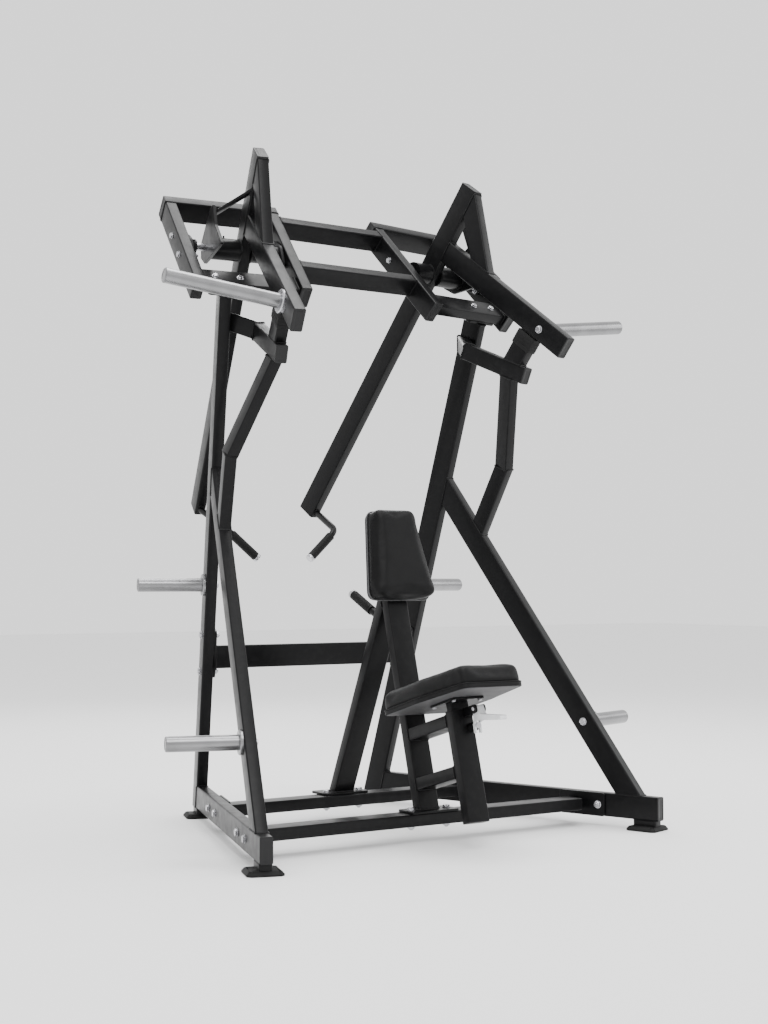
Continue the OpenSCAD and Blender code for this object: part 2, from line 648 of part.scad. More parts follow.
part_colour(steel) lever() lever_fittings();  // lever_fittings_right
part_colour(rubber) lever() lever_caps();  // lever_caps_right
part_colour(black) lever() handle_bar();  // handle_bar_right
part_colour(rubber) lever() handle_grip();  // handle_grip_right
part_colour(black) seat_stem();
part_colour([0.62, 0.62, 0.62]) seat_board();
part_colour(vinyl) seat_cushion();
part_colour(steel) seat_bolts();
part_colour(steel) adjuster_spring();
part_colour(rubber) seat_bush();
part_colour(black) adjuster_body();
part_colour(steel) { adjuster_pin(); }
part_colour([0.85, 0.86, 0.87]) adjuster_lever();
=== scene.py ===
"""Looks of the plate-loaded pulldown machine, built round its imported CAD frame."""
import bpy
import bmesh
import math
from math import radians, sin, cos, pi
from mathutils import Matrix, Vector, noise


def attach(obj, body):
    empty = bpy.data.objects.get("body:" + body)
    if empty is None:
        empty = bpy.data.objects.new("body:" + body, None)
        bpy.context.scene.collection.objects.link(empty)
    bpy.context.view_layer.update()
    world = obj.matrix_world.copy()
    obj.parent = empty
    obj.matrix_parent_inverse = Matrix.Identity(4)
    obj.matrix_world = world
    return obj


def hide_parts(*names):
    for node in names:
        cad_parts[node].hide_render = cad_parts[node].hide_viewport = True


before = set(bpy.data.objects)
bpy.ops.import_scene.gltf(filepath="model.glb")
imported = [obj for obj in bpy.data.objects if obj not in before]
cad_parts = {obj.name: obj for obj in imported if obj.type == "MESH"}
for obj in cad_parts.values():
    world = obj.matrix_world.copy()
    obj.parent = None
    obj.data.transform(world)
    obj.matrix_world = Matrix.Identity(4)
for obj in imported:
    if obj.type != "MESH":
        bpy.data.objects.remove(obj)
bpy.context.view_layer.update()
scene = bpy.context.scene
MM = 0.001
SHARP = 38  # edges that turn further than this stay sharp, in degrees

# ---------------------------------------------------------------- frames of reference, in millimetres
def T(x, y, z):
    """A shift."""
    return Matrix.Translation((x, y, z))


def R(angle, axis):
    """A turn in degrees about a named axis."""
    return Matrix.Rotation(radians(angle), 4, axis)


# tube sections, height of the base tubes' underside, then the leans and slopes in degrees
TUBE_H, TUBE_W, STRUT_H, BASE_Z = 80.0, 40.0, 60.0, 34.0
SPLAY, LEVER_SPLAY, POST_LEAN, LEG_LEAN = 18.0, 13.0, 15.1, 36.0
RAKE, STRUT_LEAN, ARM_SLOPE, WEIGHT_SLOPE, LINK_SLOPE = 15.6, 24.8, 53.4, 37.3, 22.7
FRONT_SLOPE, STRUT_RISE = 78.4, 26.0
ARM_UP, ARM_DOWN = 360.0, 1080.0
HORN_D, STORE_LEN, LOAD_LEN = 48.0, 233.0, 392.0
LOAD_X, LOAD_Z = 538, -268
PIN_X, YOKE_Y, YOKE_Z = 24.0, -318.0, 274.0
PIVOT = Vector((392, 739, 1991))
AXLE_AT, AXLE_SPLAY, HORN_RISE = Vector((392, 727.5, 1987)), 8.3, 7.7
KNEE, TIP = Vector((565, 505, 1260)), Vector((479, 363, 1568))
LINK_KNEE, POST_SIDE = Vector((435.5, 551, 1681)), Vector((500, 668, 1730))
REAR_Y, FRONT_Y = 704.0, 181.0

WORLD = T(0, -607.5, 0)
SIDE = WORLD @ T(750, 0, 0) @ R(SPLAY - 90, "Z")
POST = SIDE @ T(-1114, 0, 0) @ R(POST_LEAN, "Y")
LEG = SIDE @ T(114, 0, 0) @ R(-LEG_LEAN, "Y")
LEVER = WORLD @ T(*PIVOT) @ R(LEVER_SPLAY - 90, "Z")
AXLE = WORLD @ T(*AXLE_AT) @ R(AXLE_SPLAY - 90, "Z")
HEAD = AXLE @ R(45, "Y")
INCLINE = WORLD @ T(0, 172, 93) @ R(-RAKE, "X")
STRUT = WORLD @ T(0, 701, 99) @ R(STRUT_LEAN, "X")
LINK = LEVER @ T(193, 0, -310) @ R(LINK_SLOPE, "Y")
STUB = LEVER @ T(450, 0, -320) @ R(WEIGHT_SLOPE, "Y")
ARM = LEVER @ R(180 - ARM_SLOPE, "Y")
WEIGHT = LEVER @ T(638.5, 0, -341) @ R(WEIGHT_SLOPE, "Y")
FRONT = LEVER @ T(307, 0, -42) @ R(FRONT_SLOPE, "Y")
LOAD = LEVER @ T(LOAD_X, TUBE_W / 2, LOAD_Z) @ R(AXLE_SPLAY - LEVER_SPLAY, "Z") @ R(HORN_RISE, "X")
PIN = INCLINE @ T(PIN_X, -261, 224) @ R(90, "X")
UP = R(-90, "Y")
OUT = R(-90, "X")
MIRROR = Matrix.Scale(-1, 4, (1, 0, 0))


def along(a, b, spin=0.0):
    """Frame at a with +Z towards b."""
    v = (b - a).normalized()
    turn = R(math.degrees(math.atan2(v.y, v.x)), "Z")
    tip = R(math.degrees(math.acos(v.z)), "Y")
    return T(*a) @ turn @ tip @ R(spin, "Z")


def plane(m, axis, offset, sign):
    """A cut: what lies on the sign side of the plane at offset along m's axis goes."""
    n = Vector([1.0 if i == "xyz".index(axis) else 0.0 for i in range(3)])
    return m @ (n * offset), (m.to_3x3() @ n).normalized() * sign


# ---------------------------------------------------------------- mesh building
def rounded(w, h, r, steps=4):
    """Rounded rectangle as a list of (y, z), counter-clockwise."""
    pts = []
    x, y = w / 2 - r, h / 2 - r
    for cx, cy, a in ((x, y, 0), (-x, y, 90), (-x, -y, 180), (x, -y, 270)):
        for k in range(steps + 1):
            t = radians(a + 90 * k / steps)
            pts.append((cx + r * cos(t), cy + r * sin(t)))
    return pts


def circle(r, n=64):
    """Points (x, y) on a circle round the origin."""
    return [(r * cos(2 * pi * k / n), r * sin(2 * pi * k / n)) for k in range(n)]


def skin(b, rings, ends=True):
    """Joins rings of equal length with quads, and closes both ends when asked."""
    n = len(rings[0])
    for a, c in zip(rings, rings[1:]):
        for i in range(n):
            b.faces.new((a[i], a[(i + 1) % n], c[(i + 1) % n], c[i]))
    if ends:
        b.faces.new(list(reversed(rings[0])))
        b.faces.new(rings[-1])


def slice_off(b, cut):
    """Cuts the mesh b at a plane, drops what lies beyond it and returns the cut."""
    co, no = cut
    everything = b.verts[:] + b.edges[:] + b.faces[:]
    res = bmesh.ops.bisect_plane(b, geom=everything, plane_co=co, plane_no=no, clear_outer=True)
    return res["geom_cut"]


class Piece:
    """Gathers geometry in millimetres for one named piece."""

    def __init__(self):
        self.bm = bmesh.new()

    def take(self, other):
        """Moves the mesh other into this piece."""
        me = bpy.data.meshes.new("tmp")
        other.to_mesh(me)
        other.free()
        self.bm.from_mesh(me)
        bpy.data.meshes.remove(me)

    def add(self, b):
        """Takes the mesh b with its faces turned outward."""
        bmesh.ops.recalc_face_normals(b, faces=b.faces[:])
        self.take(b)

    def prism(self, m, x0, x1, outline, cuts=(), weld=(), lip=0.0):
        """Outline in local (y, z) swept from x0 to x1 and cut; weld names the cuts or ends with a bead."""
        b = bmesh.new()
        cy = sum(p[0] for p in outline) / len(outline)
        cz = sum(p[1] for p in outline) / len(outline)
        stations = [(x0, 0.0), (x1, 0.0)]
        if lip:
            stations = [(x0, lip), (x0 + lip, 0.0), (x1 - lip, 0.0), (x1, lip)]
        rings = []
        for x, shrink in stations:
            ring = []
            for y, z in outline:
                d = Vector((y - cy, z - cz))
                k = 1 - shrink / max(d.length, 1e-6)
                ring.append(b.verts.new(m @ Vector((x, cy + d.x * k, cz + d.y * k))))
            rings.append(ring)
        skin(b, rings)
        beads = []
        for i, cut in enumerate(cuts):
            edges = [e for e in slice_off(b, cut) if isinstance(e, bmesh.types.BMEdge) and e.is_valid]
            if edges:
                made = bmesh.ops.edgeloop_fill(b, edges=edges)
                if i in weld and made["faces"]:
                    beads.append([v.co.copy() for v in made["faces"][0].verts])
        if "start" in weld:
            beads.append([v.co.copy() for v in rings[0] if v.is_valid])
        if "end" in weld:
            beads.append([v.co.copy() for v in rings[-1] if v.is_valid])
        self.add(b)
        for loop in beads:
            self.bead(loop)

    def bead(self, loop, r=3.0, pitch=5.5, sides=7):
        """Weld bead with its ripple along a closed loop."""
        pts = [p for i, p in enumerate(loop) if (p - loop[i - 1]).length > 1e-3]
        centre = sum(pts, Vector()) / len(pts)
        total = sum((pts[i] - pts[i - 1]).length for i in range(len(pts)))
        count = max(24, int(total / 1.8))
        path, seg, left = [], 0, 0.0
        lens = [(pts[(i + 1) % len(pts)] - pts[i]).length for i in range(len(pts))]
        acc = 0.0
        for k in range(count):
            s = total * k / count
            while acc + lens[seg] < s and seg < len(lens) - 1:
                acc += lens[seg]
                seg += 1
            f = (s - acc) / max(lens[seg], 1e-6)
            path.append((pts[seg].lerp(pts[(seg + 1) % len(pts)], min(max(f, 0), 1)), s))
        b = bmesh.new()
        rings = []
        for k, (p, s) in enumerate(path):
            t = (path[(k + 1) % count][0] - path[k - 1][0]).normalized()
            out = p - centre
            out = (out - t * out.dot(t)).normalized()
            up = t.cross(out)
            wobble = 1 + 0.13 * sin(2 * pi * s / pitch) + 0.10 * noise.noise(p * 0.05)
            round_it = [(out * u + up * v) * r * wobble for u, v in circle(1.0, sides)]
            rings.append([b.verts.new(p + d) for d in round_it])
        skin(b, rings + rings[:1], ends=False)
        self.add(b)

    def lathe(self, m, profile, sides=48):
        """Closed profile of (radius, z) turned round m's Z."""
        b = bmesh.new()
        rings = []
        for r, z in profile:
            if r < 1e-6:
                rings.append([b.verts.new(m @ Vector((0, 0, z)))])
            else:
                rings.append([b.verts.new(m @ Vector((x, y, z))) for x, y in circle(r, sides)])
        for a, c in zip(rings, rings[1:] + rings[:1]):
            for j in range(sides):
                k = (j + 1) % sides
                if len(a) == 1 and len(c) == 1:
                    continue
                if len(a) == 1:
                    b.faces.new((a[0], c[j], c[k]))
                elif len(c) == 1:
                    b.faces.new((a[j], a[k], c[0]))
                else:
                    b.faces.new((a[j], a[k], c[k], c[j]))
        self.add(b)

    def plate(self, m, outline, t, soft=1.2):
        """Flat plate: outline in local (x, y), thickness t along +Z, with eased edges."""
        n = len(outline)
        b = bmesh.new()
        rings = []
        for z, shrink in ((0, soft), (soft, 0), (t - soft, 0), (t, soft)):
            ring = []
            for i, (x, y) in enumerate(outline):
                px, py = outline[i - 1]
                qx, qy = outline[(i + 1) % n]
                tx, ty = qx - px, qy - py
                d = math.hypot(tx, ty) or 1
                ring.append(b.verts.new(m @ Vector((x - ty / d * shrink, y + tx / d * shrink, z))))
            rings.append(ring)
        skin(b, rings)
        self.add(b)

    def loft(self, m, outline, layers):
        """Closed solid of one outline drawn in by layers of (z, inset)."""
        b = bmesh.new()
        rings = []
        for z, d in layers:
            shape = inset(outline, d) if d else outline
            rings.append([b.verts.new(m @ Vector((x, y, z))) for x, y in shape])
        skin(b, rings)
        self.add(b)

    def slab(self, m, x0, x1, y0, y1, t, r=5, soft=1.2):
        """Rounded-corner rectangular plate from z 0 to t."""
        o = [(x + (x0 + x1) / 2, y + (y0 + y1) / 2) for x, y in rounded(x1 - x0, y1 - y0, r)]
        self.plate(m, o, t, soft)

    def cap(self, m, h=TUBE_H, w=TUBE_W):
        """Moulded end plug: a lip with a domed face and a shallow recess, at local X 0 outward."""
        o = rounded(w, h, 5.5)
        b = bmesh.new()
        rings = []
        for x, s in ((-0.5, 0.0), (1.6, 0.0), (2.6, 0.8), (3.0, 2.4), (3.0, 7.0), (2.4, 8.0), (2.4, 14.0)):
            ky, kz = 1 - 2 * s / w, 1 - 2 * s / h
            rings.append([b.verts.new(m @ Vector((x, y * ky, z * kz))) for y, z in o])
        skin(b, rings)
        self.add(b)

    def tube_path(self, points, r, sides, ends=True):
        """Round bar along points."""
        b = bmesh.new()
        rings = []
        normal = None
        for i, p in enumerate(points):
            a = points[max(i - 1, 0)]
            c = points[min(i + 1, len(points) - 1)]
            t = (c - a).normalized()
            if normal is None:
                normal = t.orthogonal().normalized()
            normal = (normal - t * normal.dot(t)).normalized()
            side = t.cross(normal)
            rings.append([b.verts.new(p + (normal * u + side * v) * r) for u, v in circle(1.0, sides)])
        skin(b, rings, ends)
        self.add(b)

    def hex_head(self, m, d, height=None, washer=True):
        """Hexagon head growing along +Z from a seat at z 0, with a chamfered crown and a washer."""
        h = height or 0.62 * d
        af = 0.9 * d
        z0 = 0.0
        if washer:
            rim = [(1.05 * d, 0), (1.12 * d, 0.5), (1.12 * d, 1.6), (1.02 * d, 2.2)]
            self.lathe(m, [(0.1, 0)] + rim + [(0.1, 2.2)], 32)
            z0 = 2.0
        b = bmesh.new()
        rings = []
        sides = 24
        for k, (z, s) in enumerate(((z0, 1.0), (z0 + h * 0.78, 1.0), (z0 + h, 0.86), (z0 + h, 0.6))):
            ring = []
            for j in range(sides):
                a = 2 * pi * j / sides
                hexr = af / cos(((a + pi / 6) % (pi / 3)) - pi / 6)
                rr = min(hexr, af * 1.10) if k < 2 else min(hexr, af) * s
                ring.append(b.verts.new(m @ Vector((rr * cos(a), rr * sin(a), z))))
            rings.append(ring)
        skin(b, rings)
        self.add(b)

    def nut(self, m, d):
        """Nut on a washer, with the end of its bolt standing out."""
        self.hex_head(m, d, 0.75 * d)
        tip = 0.75 * d + 6
        self.lathe(m, [(0.1, 0), (d / 2, 0), (d / 2, tip - 1), (d / 2 - 1, tip), (0.1, tip)], 20)

    def emit(self, name, body, nodes, slot, material, left=False):
        """Makes the Blender object; left gives the mirrored one."""
        b = self.bm.copy()
        m = Matrix.Scale(MM, 4)
        if left:
            m = m @ MIRROR
        b.transform(m)
        if left:
            bmesh.ops.reverse_faces(b, faces=b.faces[:])
        limit = radians(SHARP)
        for f in b.faces:
            f.smooth = True
        for e in b.edges:
            e.smooth = len(e.link_faces) == 2 and e.calc_face_angle(0.0) < limit
        me = bpy.data.meshes.new(name)
        b.to_mesh(me)
        b.free()
        o = bpy.data.objects.new(name, me)
        scene.collection.objects.link(o)
        me.materials.append(material)
        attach(o, body)
        if nodes:
            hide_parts(*nodes)
        return o


# ---------------------------------------------------------------- materials
def base_material(name):
    """New material with its node tree and its shader."""
    m = bpy.data.materials.new(name)
    m.use_nodes = True
    nt = m.node_tree
    return m, nt, nt.nodes["Principled BSDF"]


def node(nt, kind, **values):
    """New node with its sockets or settings filled in."""
    n = nt.nodes.new(kind)
    for k, v in values.items():
        if k in n.inputs:
            n.inputs[k].default_value = v
        else:
            setattr(n, k, v)
    return n


def coords(nt, scale=(1, 1, 1)):
    """Object coordinates, stretched by scale."""
    c = node(nt, "ShaderNodeTexCoord")
    mp = node(nt, "ShaderNodeMapping")
    mp.inputs["Scale"].default_value = scale
    nt.links.new(c.outputs["Object"], mp.inputs["Vector"])
    return mp.outputs["Vector"]


def grey(value):
    return (value,) * 3


def speckle(nt, vector, scale, detail):
    """Noise read at vector."""
    n = node(nt, "ShaderNodeTexNoise", Scale=scale, Detail=detail)
    nt.links.new(vector, n.inputs["Vector"])
    return n.outputs["Fac"]


def ramp(nt, source, stops):
    """Colours at stops of (position, colour), chosen by source."""
    r = node(nt, "ShaderNodeValToRGB")
    e = r.color_ramp.elements
    e[0].position, e[0].color = stops[0][0], (*stops[0][1], 1)
    e[1].position, e[1].color = stops[-1][0], (*stops[-1][1], 1)
    for p, c in stops[1:-1]:
        x = e.new(p)
        x.color = (*c, 1)
    nt.links.new(source, r.inputs["Fac"])
    return r.outputs["Color"]


def bump(nt, height, strength, distance, normal=None):
    b = node(nt, "ShaderNodeBump", Strength=strength, Distance=distance)
    nt.links.new(height, b.inputs["Height"])
    if normal:
        nt.links.new(normal, b.inputs["Normal"])
    return b.outputs["Normal"]


def edge_wear(nt, colour_a, colour_b, amount=0.25):
    """Blends towards colour_b on worn edges, by pointiness broken up with noise."""
    geo = node(nt, "ShaderNodeNewGeometry")
    patches = speckle(nt, coords(nt), 45.0, 4.0)
    mul = node(nt, "ShaderNodeMath", operation="MULTIPLY")
    nt.links.new(ramp(nt, geo.outputs["Pointiness"], [(0.52, grey(0)), (0.6, grey(1))]), mul.inputs[0])
    nt.links.new(ramp(nt, patches, [(0.5, grey(0)), (0.62, grey(amount))]), mul.inputs[1])
    mix = node(nt, "ShaderNodeMix", data_type="RGBA")
    nt.links.new(mul.outputs[0], mix.inputs["Factor"])
    mix.inputs["A"].default_value = (*colour_a, 1)
    mix.inputs["B"].default_value = (*colour_b, 1)
    return mix.outputs["Result"]


def powder_coat():
    m, nt, p = base_material("powder_coat_black")
    p.inputs["Specular IOR Level"].default_value = 0.13
    p.inputs["Coat Weight"].default_value = 0.04
    p.inputs["Coat Roughness"].default_value = 0.15
    v = coords(nt)
    mix = node(nt, "ShaderNodeMix", data_type="RGBA")
    nt.links.new(speckle(nt, v, 3.0, 3.0), mix.inputs["Factor"])
    nt.links.new(edge_wear(nt, (0.003, 0.003, 0.0033), (0.016, 0.016, 0.016)), mix.inputs["A"])
    mix.inputs["B"].default_value = (0.004, 0.004, 0.0044, 1)
    nt.links.new(mix.outputs["Result"], p.inputs["Base Color"])
    rough = speckle(nt, v, 25.0, 4.0)
    nt.links.new(ramp(nt, rough, [(0.3, grey(0.30)), (0.7, grey(0.40))]), p.inputs["Roughness"])
    peel = speckle(nt, v, 420.0, 2.0)
    nt.links.new(bump(nt, peel, 0.12, 0.0004), p.inputs["Normal"])
    return m


def brushed(name, colour, rough, scale=(3, 3, 900), cast=0.0):
    m, nt, p = base_material(name)
    p.inputs["Metallic"].default_value = 1.0
    v = coords(nt, scale)
    lines = node(nt, "ShaderNodeTexNoise", Scale=1.0, Detail=6.0, Roughness=0.65)
    nt.links.new(v, lines.inputs["Vector"])
    plain = speckle(nt, coords(nt), 14.0, 3.0)
    lo, hi = tuple(c * 0.86 for c in colour), tuple(min(1, c * 1.08) for c in colour)
    nt.links.new(ramp(nt, plain, [(0.3, lo), (0.7, hi)]), p.inputs["Base Color"])
    smear = ramp(nt, lines.outputs["Fac"], [(0.3, grey(rough * 0.8)), (0.7, grey(rough * 1.3))])
    nt.links.new(smear, p.inputs["Roughness"])
    nt.links.new(bump(nt, lines.outputs["Fac"], 0.05 + cast, 0.0003), p.inputs["Normal"])
    return m


def rubber(name, colour, rough, grain=700.0, strength=0.25):
    m, nt, p = base_material(name)
    p.inputs["Specular IOR Level"].default_value = 0.14
    v = coords(nt)
    dust = speckle(nt, v, 18.0, 5.0)
    pale = tuple(c * 1.6 for c in colour)
    nt.links.new(ramp(nt, dust, [(0.35, colour), (0.75, pale)]), p.inputs["Base Color"])
    nt.links.new(ramp(nt, dust, [(0.3, grey(rough)), (0.7, grey(rough + 0.12))]), p.inputs["Roughness"])
    g = node(nt, "ShaderNodeTexVoronoi", Scale=grain)
    nt.links.new(v, g.inputs["Vector"])
    nt.links.new(bump(nt, g.outputs["Distance"], strength, 0.0005), p.inputs["Normal"])
    return m


def vinyl():
    m, nt, p = base_material("upholstery_vinyl")
    p.inputs["Sheen Weight"].default_value = 0.012
    p.inputs["Specular IOR Level"].default_value = 0.12
    v = coords(nt)
    tone = speckle(nt, v, 9.0, 4.0)
    lo, hi = (0.003, 0.003, 0.0032), (0.0055, 0.0055, 0.0058)
    nt.links.new(ramp(nt, tone, [(0.3, lo), (0.7, hi)]), p.inputs["Base Color"])
    nt.links.new(ramp(nt, tone, [(0.3, grey(0.42)), (0.7, grey(0.52))]), p.inputs["Roughness"])
    cells = node(nt, "ShaderNodeTexVoronoi", Scale=520.0, feature="DISTANCE_TO_EDGE")
    nt.links.new(v, cells.inputs["Vector"])
    creases = speckle(nt, v, 160.0, 5.0)
    grain = bump(nt, ramp(nt, cells.outputs["Distance"], [(0.0, grey(0)), (0.12, grey(1))]), 0.22, 0.0004)
    nt.links.new(bump(nt, creases, 0.12, 0.001, grain), p.inputs["Normal"])
    return m


def plastic(name, colour, rough):
    m, nt, p = base_material(name)
    p.inputs["Specular IOR Level"].default_value = 0.25
    v = coords(nt)
    tone = speckle(nt, v, 22.0, 3.0)
    lo, hi = tuple(c * 0.9 for c in colour), tuple(c * 1.1 for c in colour)
    nt.links.new(ramp(nt, tone, [(0.3, lo), (0.7, hi)]), p.inputs["Base Color"])
    nt.links.new(ramp(nt, tone, [(0.3, grey(rough)), (0.7, grey(rough + 0.1))]), p.inputs["Roughness"])
    nt.links.new(bump(nt, speckle(nt, v, 900.0, 2.0), 0.12, 0.0003), p.inputs["Normal"])
    return m


BLACK = powder_coat()
STAINLESS = brushed("stainless_brushed", (0.25, 0.25, 0.255), 0.27)
ZINC = brushed("zinc_plate", (0.5, 0.5, 0.52), 0.26, (60, 60, 60))
SILVER = brushed("satin_aluminium", (0.5, 0.5, 0.51), 0.3, (200, 200, 200))
CAST = brushed("die_cast_white", (0.82, 0.83, 0.84), 0.42, (260, 260, 260), 0.1)
CAST.node_tree.nodes["Principled BSDF"].inputs["Metallic"].default_value = 0.35
RUBBER = rubber("rubber_black", (0.007, 0.007, 0.007), 0.55)
GRIP = rubber("grip_rubber", (0.008, 0.008, 0.008), 0.5, 420.0, 0.35)
PLUG = plastic("plug_plastic", (0.009, 0.009, 0.0095), 0.38)
BOARD = plastic("board_black", (0.025, 0.025, 0.026), 0.5)
GREY = plastic("board_grey", (0.07, 0.07, 0.072), 0.45)
IRON = rubber("bearing_paint", (0.009, 0.009, 0.0095), 0.35, 300.0, 0.12)
VINYL = vinyl()
# chest welt: black vinyl given a grey colour, a painted highlight for the lighter line where light catches
# it
PIPING_HIGHLIGHT = plastic("piping_painted_highlight", (0.07, 0.07, 0.072), 0.4)

BOX80 = rounded(TUBE_W, TUBE_H, 5)
BOX60 = rounded(TUBE_W, STRUT_H, 5)
BOX70 = rounded(TUBE_W, 70, 5)


def both(build, name, body, nodes, slot, material):
    """Builds a right-hand piece and its mirror; @ in a node's name stands for the side."""
    for side in ("right", "left"):
        rides = body if body == "frame" else f"{body}_{side}"
        covered = [n.replace("@", side) for n in nodes]
        build().emit(f"{name}_{side}", rides, covered, slot, material, left=side == "left")


def corner_round(points, r, steps=7):
    """Rounds the corners of a closed outline, each with its own radius when r is a list."""
    out = []
    n = len(points)
    for i, p in enumerate(points):
        a, c = Vector(points[i - 1]), Vector(points[(i + 1) % n])
        b = Vector(p)
        rr = r[i] if isinstance(r, (list, tuple)) else r
        u, v = (a - b).normalized(), (c - b).normalized()
        half = math.acos(max(-1, min(1, u.dot(v)))) / 2
        d = rr / math.tan(half)
        s, e = b + u * d, b + v * d
        for k in range(steps + 1):
            t = k / steps
            out.append(tuple(s * (1 - t) ** 2 + b * 2 * t * (1 - t) + e * t * t))
    return out


def inset(outline, d):
    """Closed outline drawn inward by d."""
    n = len(outline)
    res = []
    for i in range(n):
        a, c = Vector(outline[i - 1]), Vector(outline[(i + 1) % n])
        t = (c - a).normalized()
        res.append((outline[i][0] - t.y * d, outline[i][1] + t.x * d))
    return res


def resample(outline, step):
    """Closed outline with its points spread evenly, about step apart."""
    pts = [Vector(p) for p in outline]
    total = sum((pts[i] - pts[i - 1]).length for i in range(len(pts)))
    n = int(total / step)
    res, seg, acc = [], 0, 0.0
    lens = [(pts[(i + 1) % len(pts)] - pts[i]).length for i in range(len(pts))]
    for k in range(n):
        s = total * k / n
        while acc + lens[seg] < s and seg < len(lens) - 1:
            acc += lens[seg]
            seg += 1
        f = (s - acc) / max(lens[seg], 1e-9)
        res.append(tuple(pts[seg].lerp(pts[(seg + 1) % len(pts)], f)))
    return res


def carve(o, tool):
    """Takes the tool piece's volume out of the object o."""
    tool.bm.transform(Matrix.Scale(MM, 4))
    me = bpy.data.meshes.new("tool")
    tool.bm.to_mesh(me)
    cutter = bpy.data.objects.new("tool", me)
    scene.collection.objects.link(cutter)
    mod = o.modifiers.new("carve", "BOOLEAN")
    mod.operation = "DIFFERENCE"
    mod.solver = "EXACT"
    mod.object = cutter
    bpy.context.view_layer.objects.active = o
    bpy.ops.object.modifier_apply(modifier="carve")
    bpy.data.objects.remove(cutter)
    bpy.data.meshes.remove(me)
    o.data.set_sharp_from_angle(angle=radians(SHARP))


# ---------------------------------------------------------------- side frames
def base():
    p = Piece()
    p.prism(SIDE @ T(-1300, -20, 74), 0, 1395, BOX80, [plane(POST, "x", 0, -1)], (0,))
    return p


def post():
    p = Piece()
    ends = [plane(SIDE, "z", BASE_Z, -1), plane(HEAD, "z", -30, 1)]
    p.prism(POST @ T(-40, -20, 0) @ UP, -100, 2100, BOX80, ends, (1,))
    p.slab(HEAD @ T(0, 0, -30), 160, 240, 53, 183, 10, 8)
    return p


def leg():
    p = Piece()
    ends = [plane(SIDE, "z", BASE_Z + TUBE_H, -1), plane(POST, "x", 0, -1)]
    p.prism(LEG @ T(-40, -20, 0) @ UP, -100, 1700, BOX80, ends, (0, 1))
    return p


def knee_plane(at, a, b, sign):
    """Mitre plane between two tube directions that meet at a point."""
    n = (a.normalized() + b.normalized()).normalized()
    return WORLD @ at, n * sign


def stop_strut():
    p = Piece()
    rise = radians(STRUT_RISE)
    a = SIDE.to_3x3() @ Vector((sin(rise), 0, cos(rise)))
    v = TIP - KNEE
    lower = SIDE @ T(-643, -20, 1044) @ R(STRUT_RISE, "Y") @ UP
    p.prism(lower, -120, 300, BOX60, [plane(LEG, "x", 0, -1), knee_plane(KNEE, a, v, 1)], (0, 1))
    upper = WORLD @ along(KNEE, TIP, 35.5) @ UP
    ends = [knee_plane(KNEE, a, v, -1), plane(LINK, "z", -30, 1)]
    p.prism(upper, -80, v.length + 80, BOX60, ends, (1,))
    return p


def stop_link():
    p = Piece()
    f = LINK.to_3x3() @ Vector((1, 0, 0))
    v = POST_SIDE - LINK_KNEE
    p.prism(LINK, -80, 293, BOX60, [knee_plane(LINK_KNEE, f, -v, -1)], (0,))
    turn = R(math.degrees(math.atan2(v.y, v.x)), "Z")
    tip = R(-math.degrees(math.asin(v.z / v.length)), "Y")
    m = WORLD @ T(*LINK_KNEE) @ turn @ tip
    ends = [knee_plane(LINK_KNEE, f, -v, 1), plane(SIDE, "y", -40, 1)]
    p.prism(m, -80, v.length + 80, BOX60, ends, (1,))
    p.prism(STUB @ UP, -120, 45, BOX80, [plane(LINK, "z", 30, -1)], (0,))
    return p


NO_RIPPLE = 1e9


def bumper():
    """Rubber block on the end of the stop, with three raised bands."""
    p = Piece()
    p.prism(STUB @ UP, 0, 53.6, rounded(TUBE_W + 6, TUBE_H + 8, 7), lip=1.6)
    for k in (12, 24, 36):
        loop = [STUB @ UP @ Vector((k, y, z)) for y, z in rounded(TUBE_W + 6.2, TUBE_H + 8.2, 7)]
        p.bead(loop, 1.0, pitch=NO_RIPPLE, sides=6)
    return p


FOOT_SIDE = 112
FOOT_H = 15
FEET = (45, -1120)


def foot_shoe():
    """Moulded shoe: straight sides, a chamfer all round and a small lip at the floor."""
    p = Piece()
    half, cut = FOOT_SIDE / 2, 12
    c = half - cut
    right, left = [(half, -c), (half, c), (c, half)], [(-c, half), (-half, c), (-half, -c)]
    o = corner_round(right + left + [(-c, -half), (c, -half)], 5, 3)
    for t in FEET:
        p.loft(SIDE @ T(t, -20, 0), o, [(0, 1.5), (1.2, 0), (5.6, 0), (6.4, 0.6), (14, 8.2), (FOOT_H, 10)])
    return p


def foot_post():
    p = Piece()
    for t in FEET:
        p.prism(SIDE @ T(t, -20, FOOT_H - 0.5) @ UP, 0, BASE_Z - FOOT_H, rounded(40, 86, 5))
        p.bead([SIDE @ T(t, -20, 0) @ Vector((z, y, BASE_Z - 0.5)) for y, z in rounded(37, 84, 5)], 2.2)
    return p


both(base, "base_tube", "frame", ["base_@"], "powder_black", BLACK)
both(post, "rear_post_tube", "frame", ["rear_post_@"], "powder_black", BLACK)
both(leg, "front_leg_tube", "frame", ["front_leg_@"], "powder_black", BLACK)
both(stop_strut, "stop_strut_tube", "frame", ["stop_strut_@"], "powder_black", BLACK)
both(stop_link, "stop_link_tube", "frame", ["stop_link_@"], "powder_black", BLACK)
both(bumper, "stop_bumper_block", "frame", ["stop_bumpers"], "rubber_black", RUBBER)
both(foot_shoe, "floor_foot", "frame", ["feet"], "rubber_black", RUBBER)
both(foot_post, "floor_foot_post", "frame", [], "powder_black", BLACK)


def base_plugs():
    p = Piece()
    p.cap(SIDE @ T(95, -20, 74))
    p.cap(LINK @ T(293, 0, 0), STRUT_H)
    for y in (-150, 230):
        p.cap(HEAD @ T(252, y, 0))
    p.cap(HEAD @ T(-228, -167, 0) @ R(-90, "Z"))
    p.cap(HEAD @ T(-228, 247, 0) @ R(90, "Z"))
    return p


both(base_plugs, "base_plug", "frame", ["base_caps"], "plastic_black", PLUG)


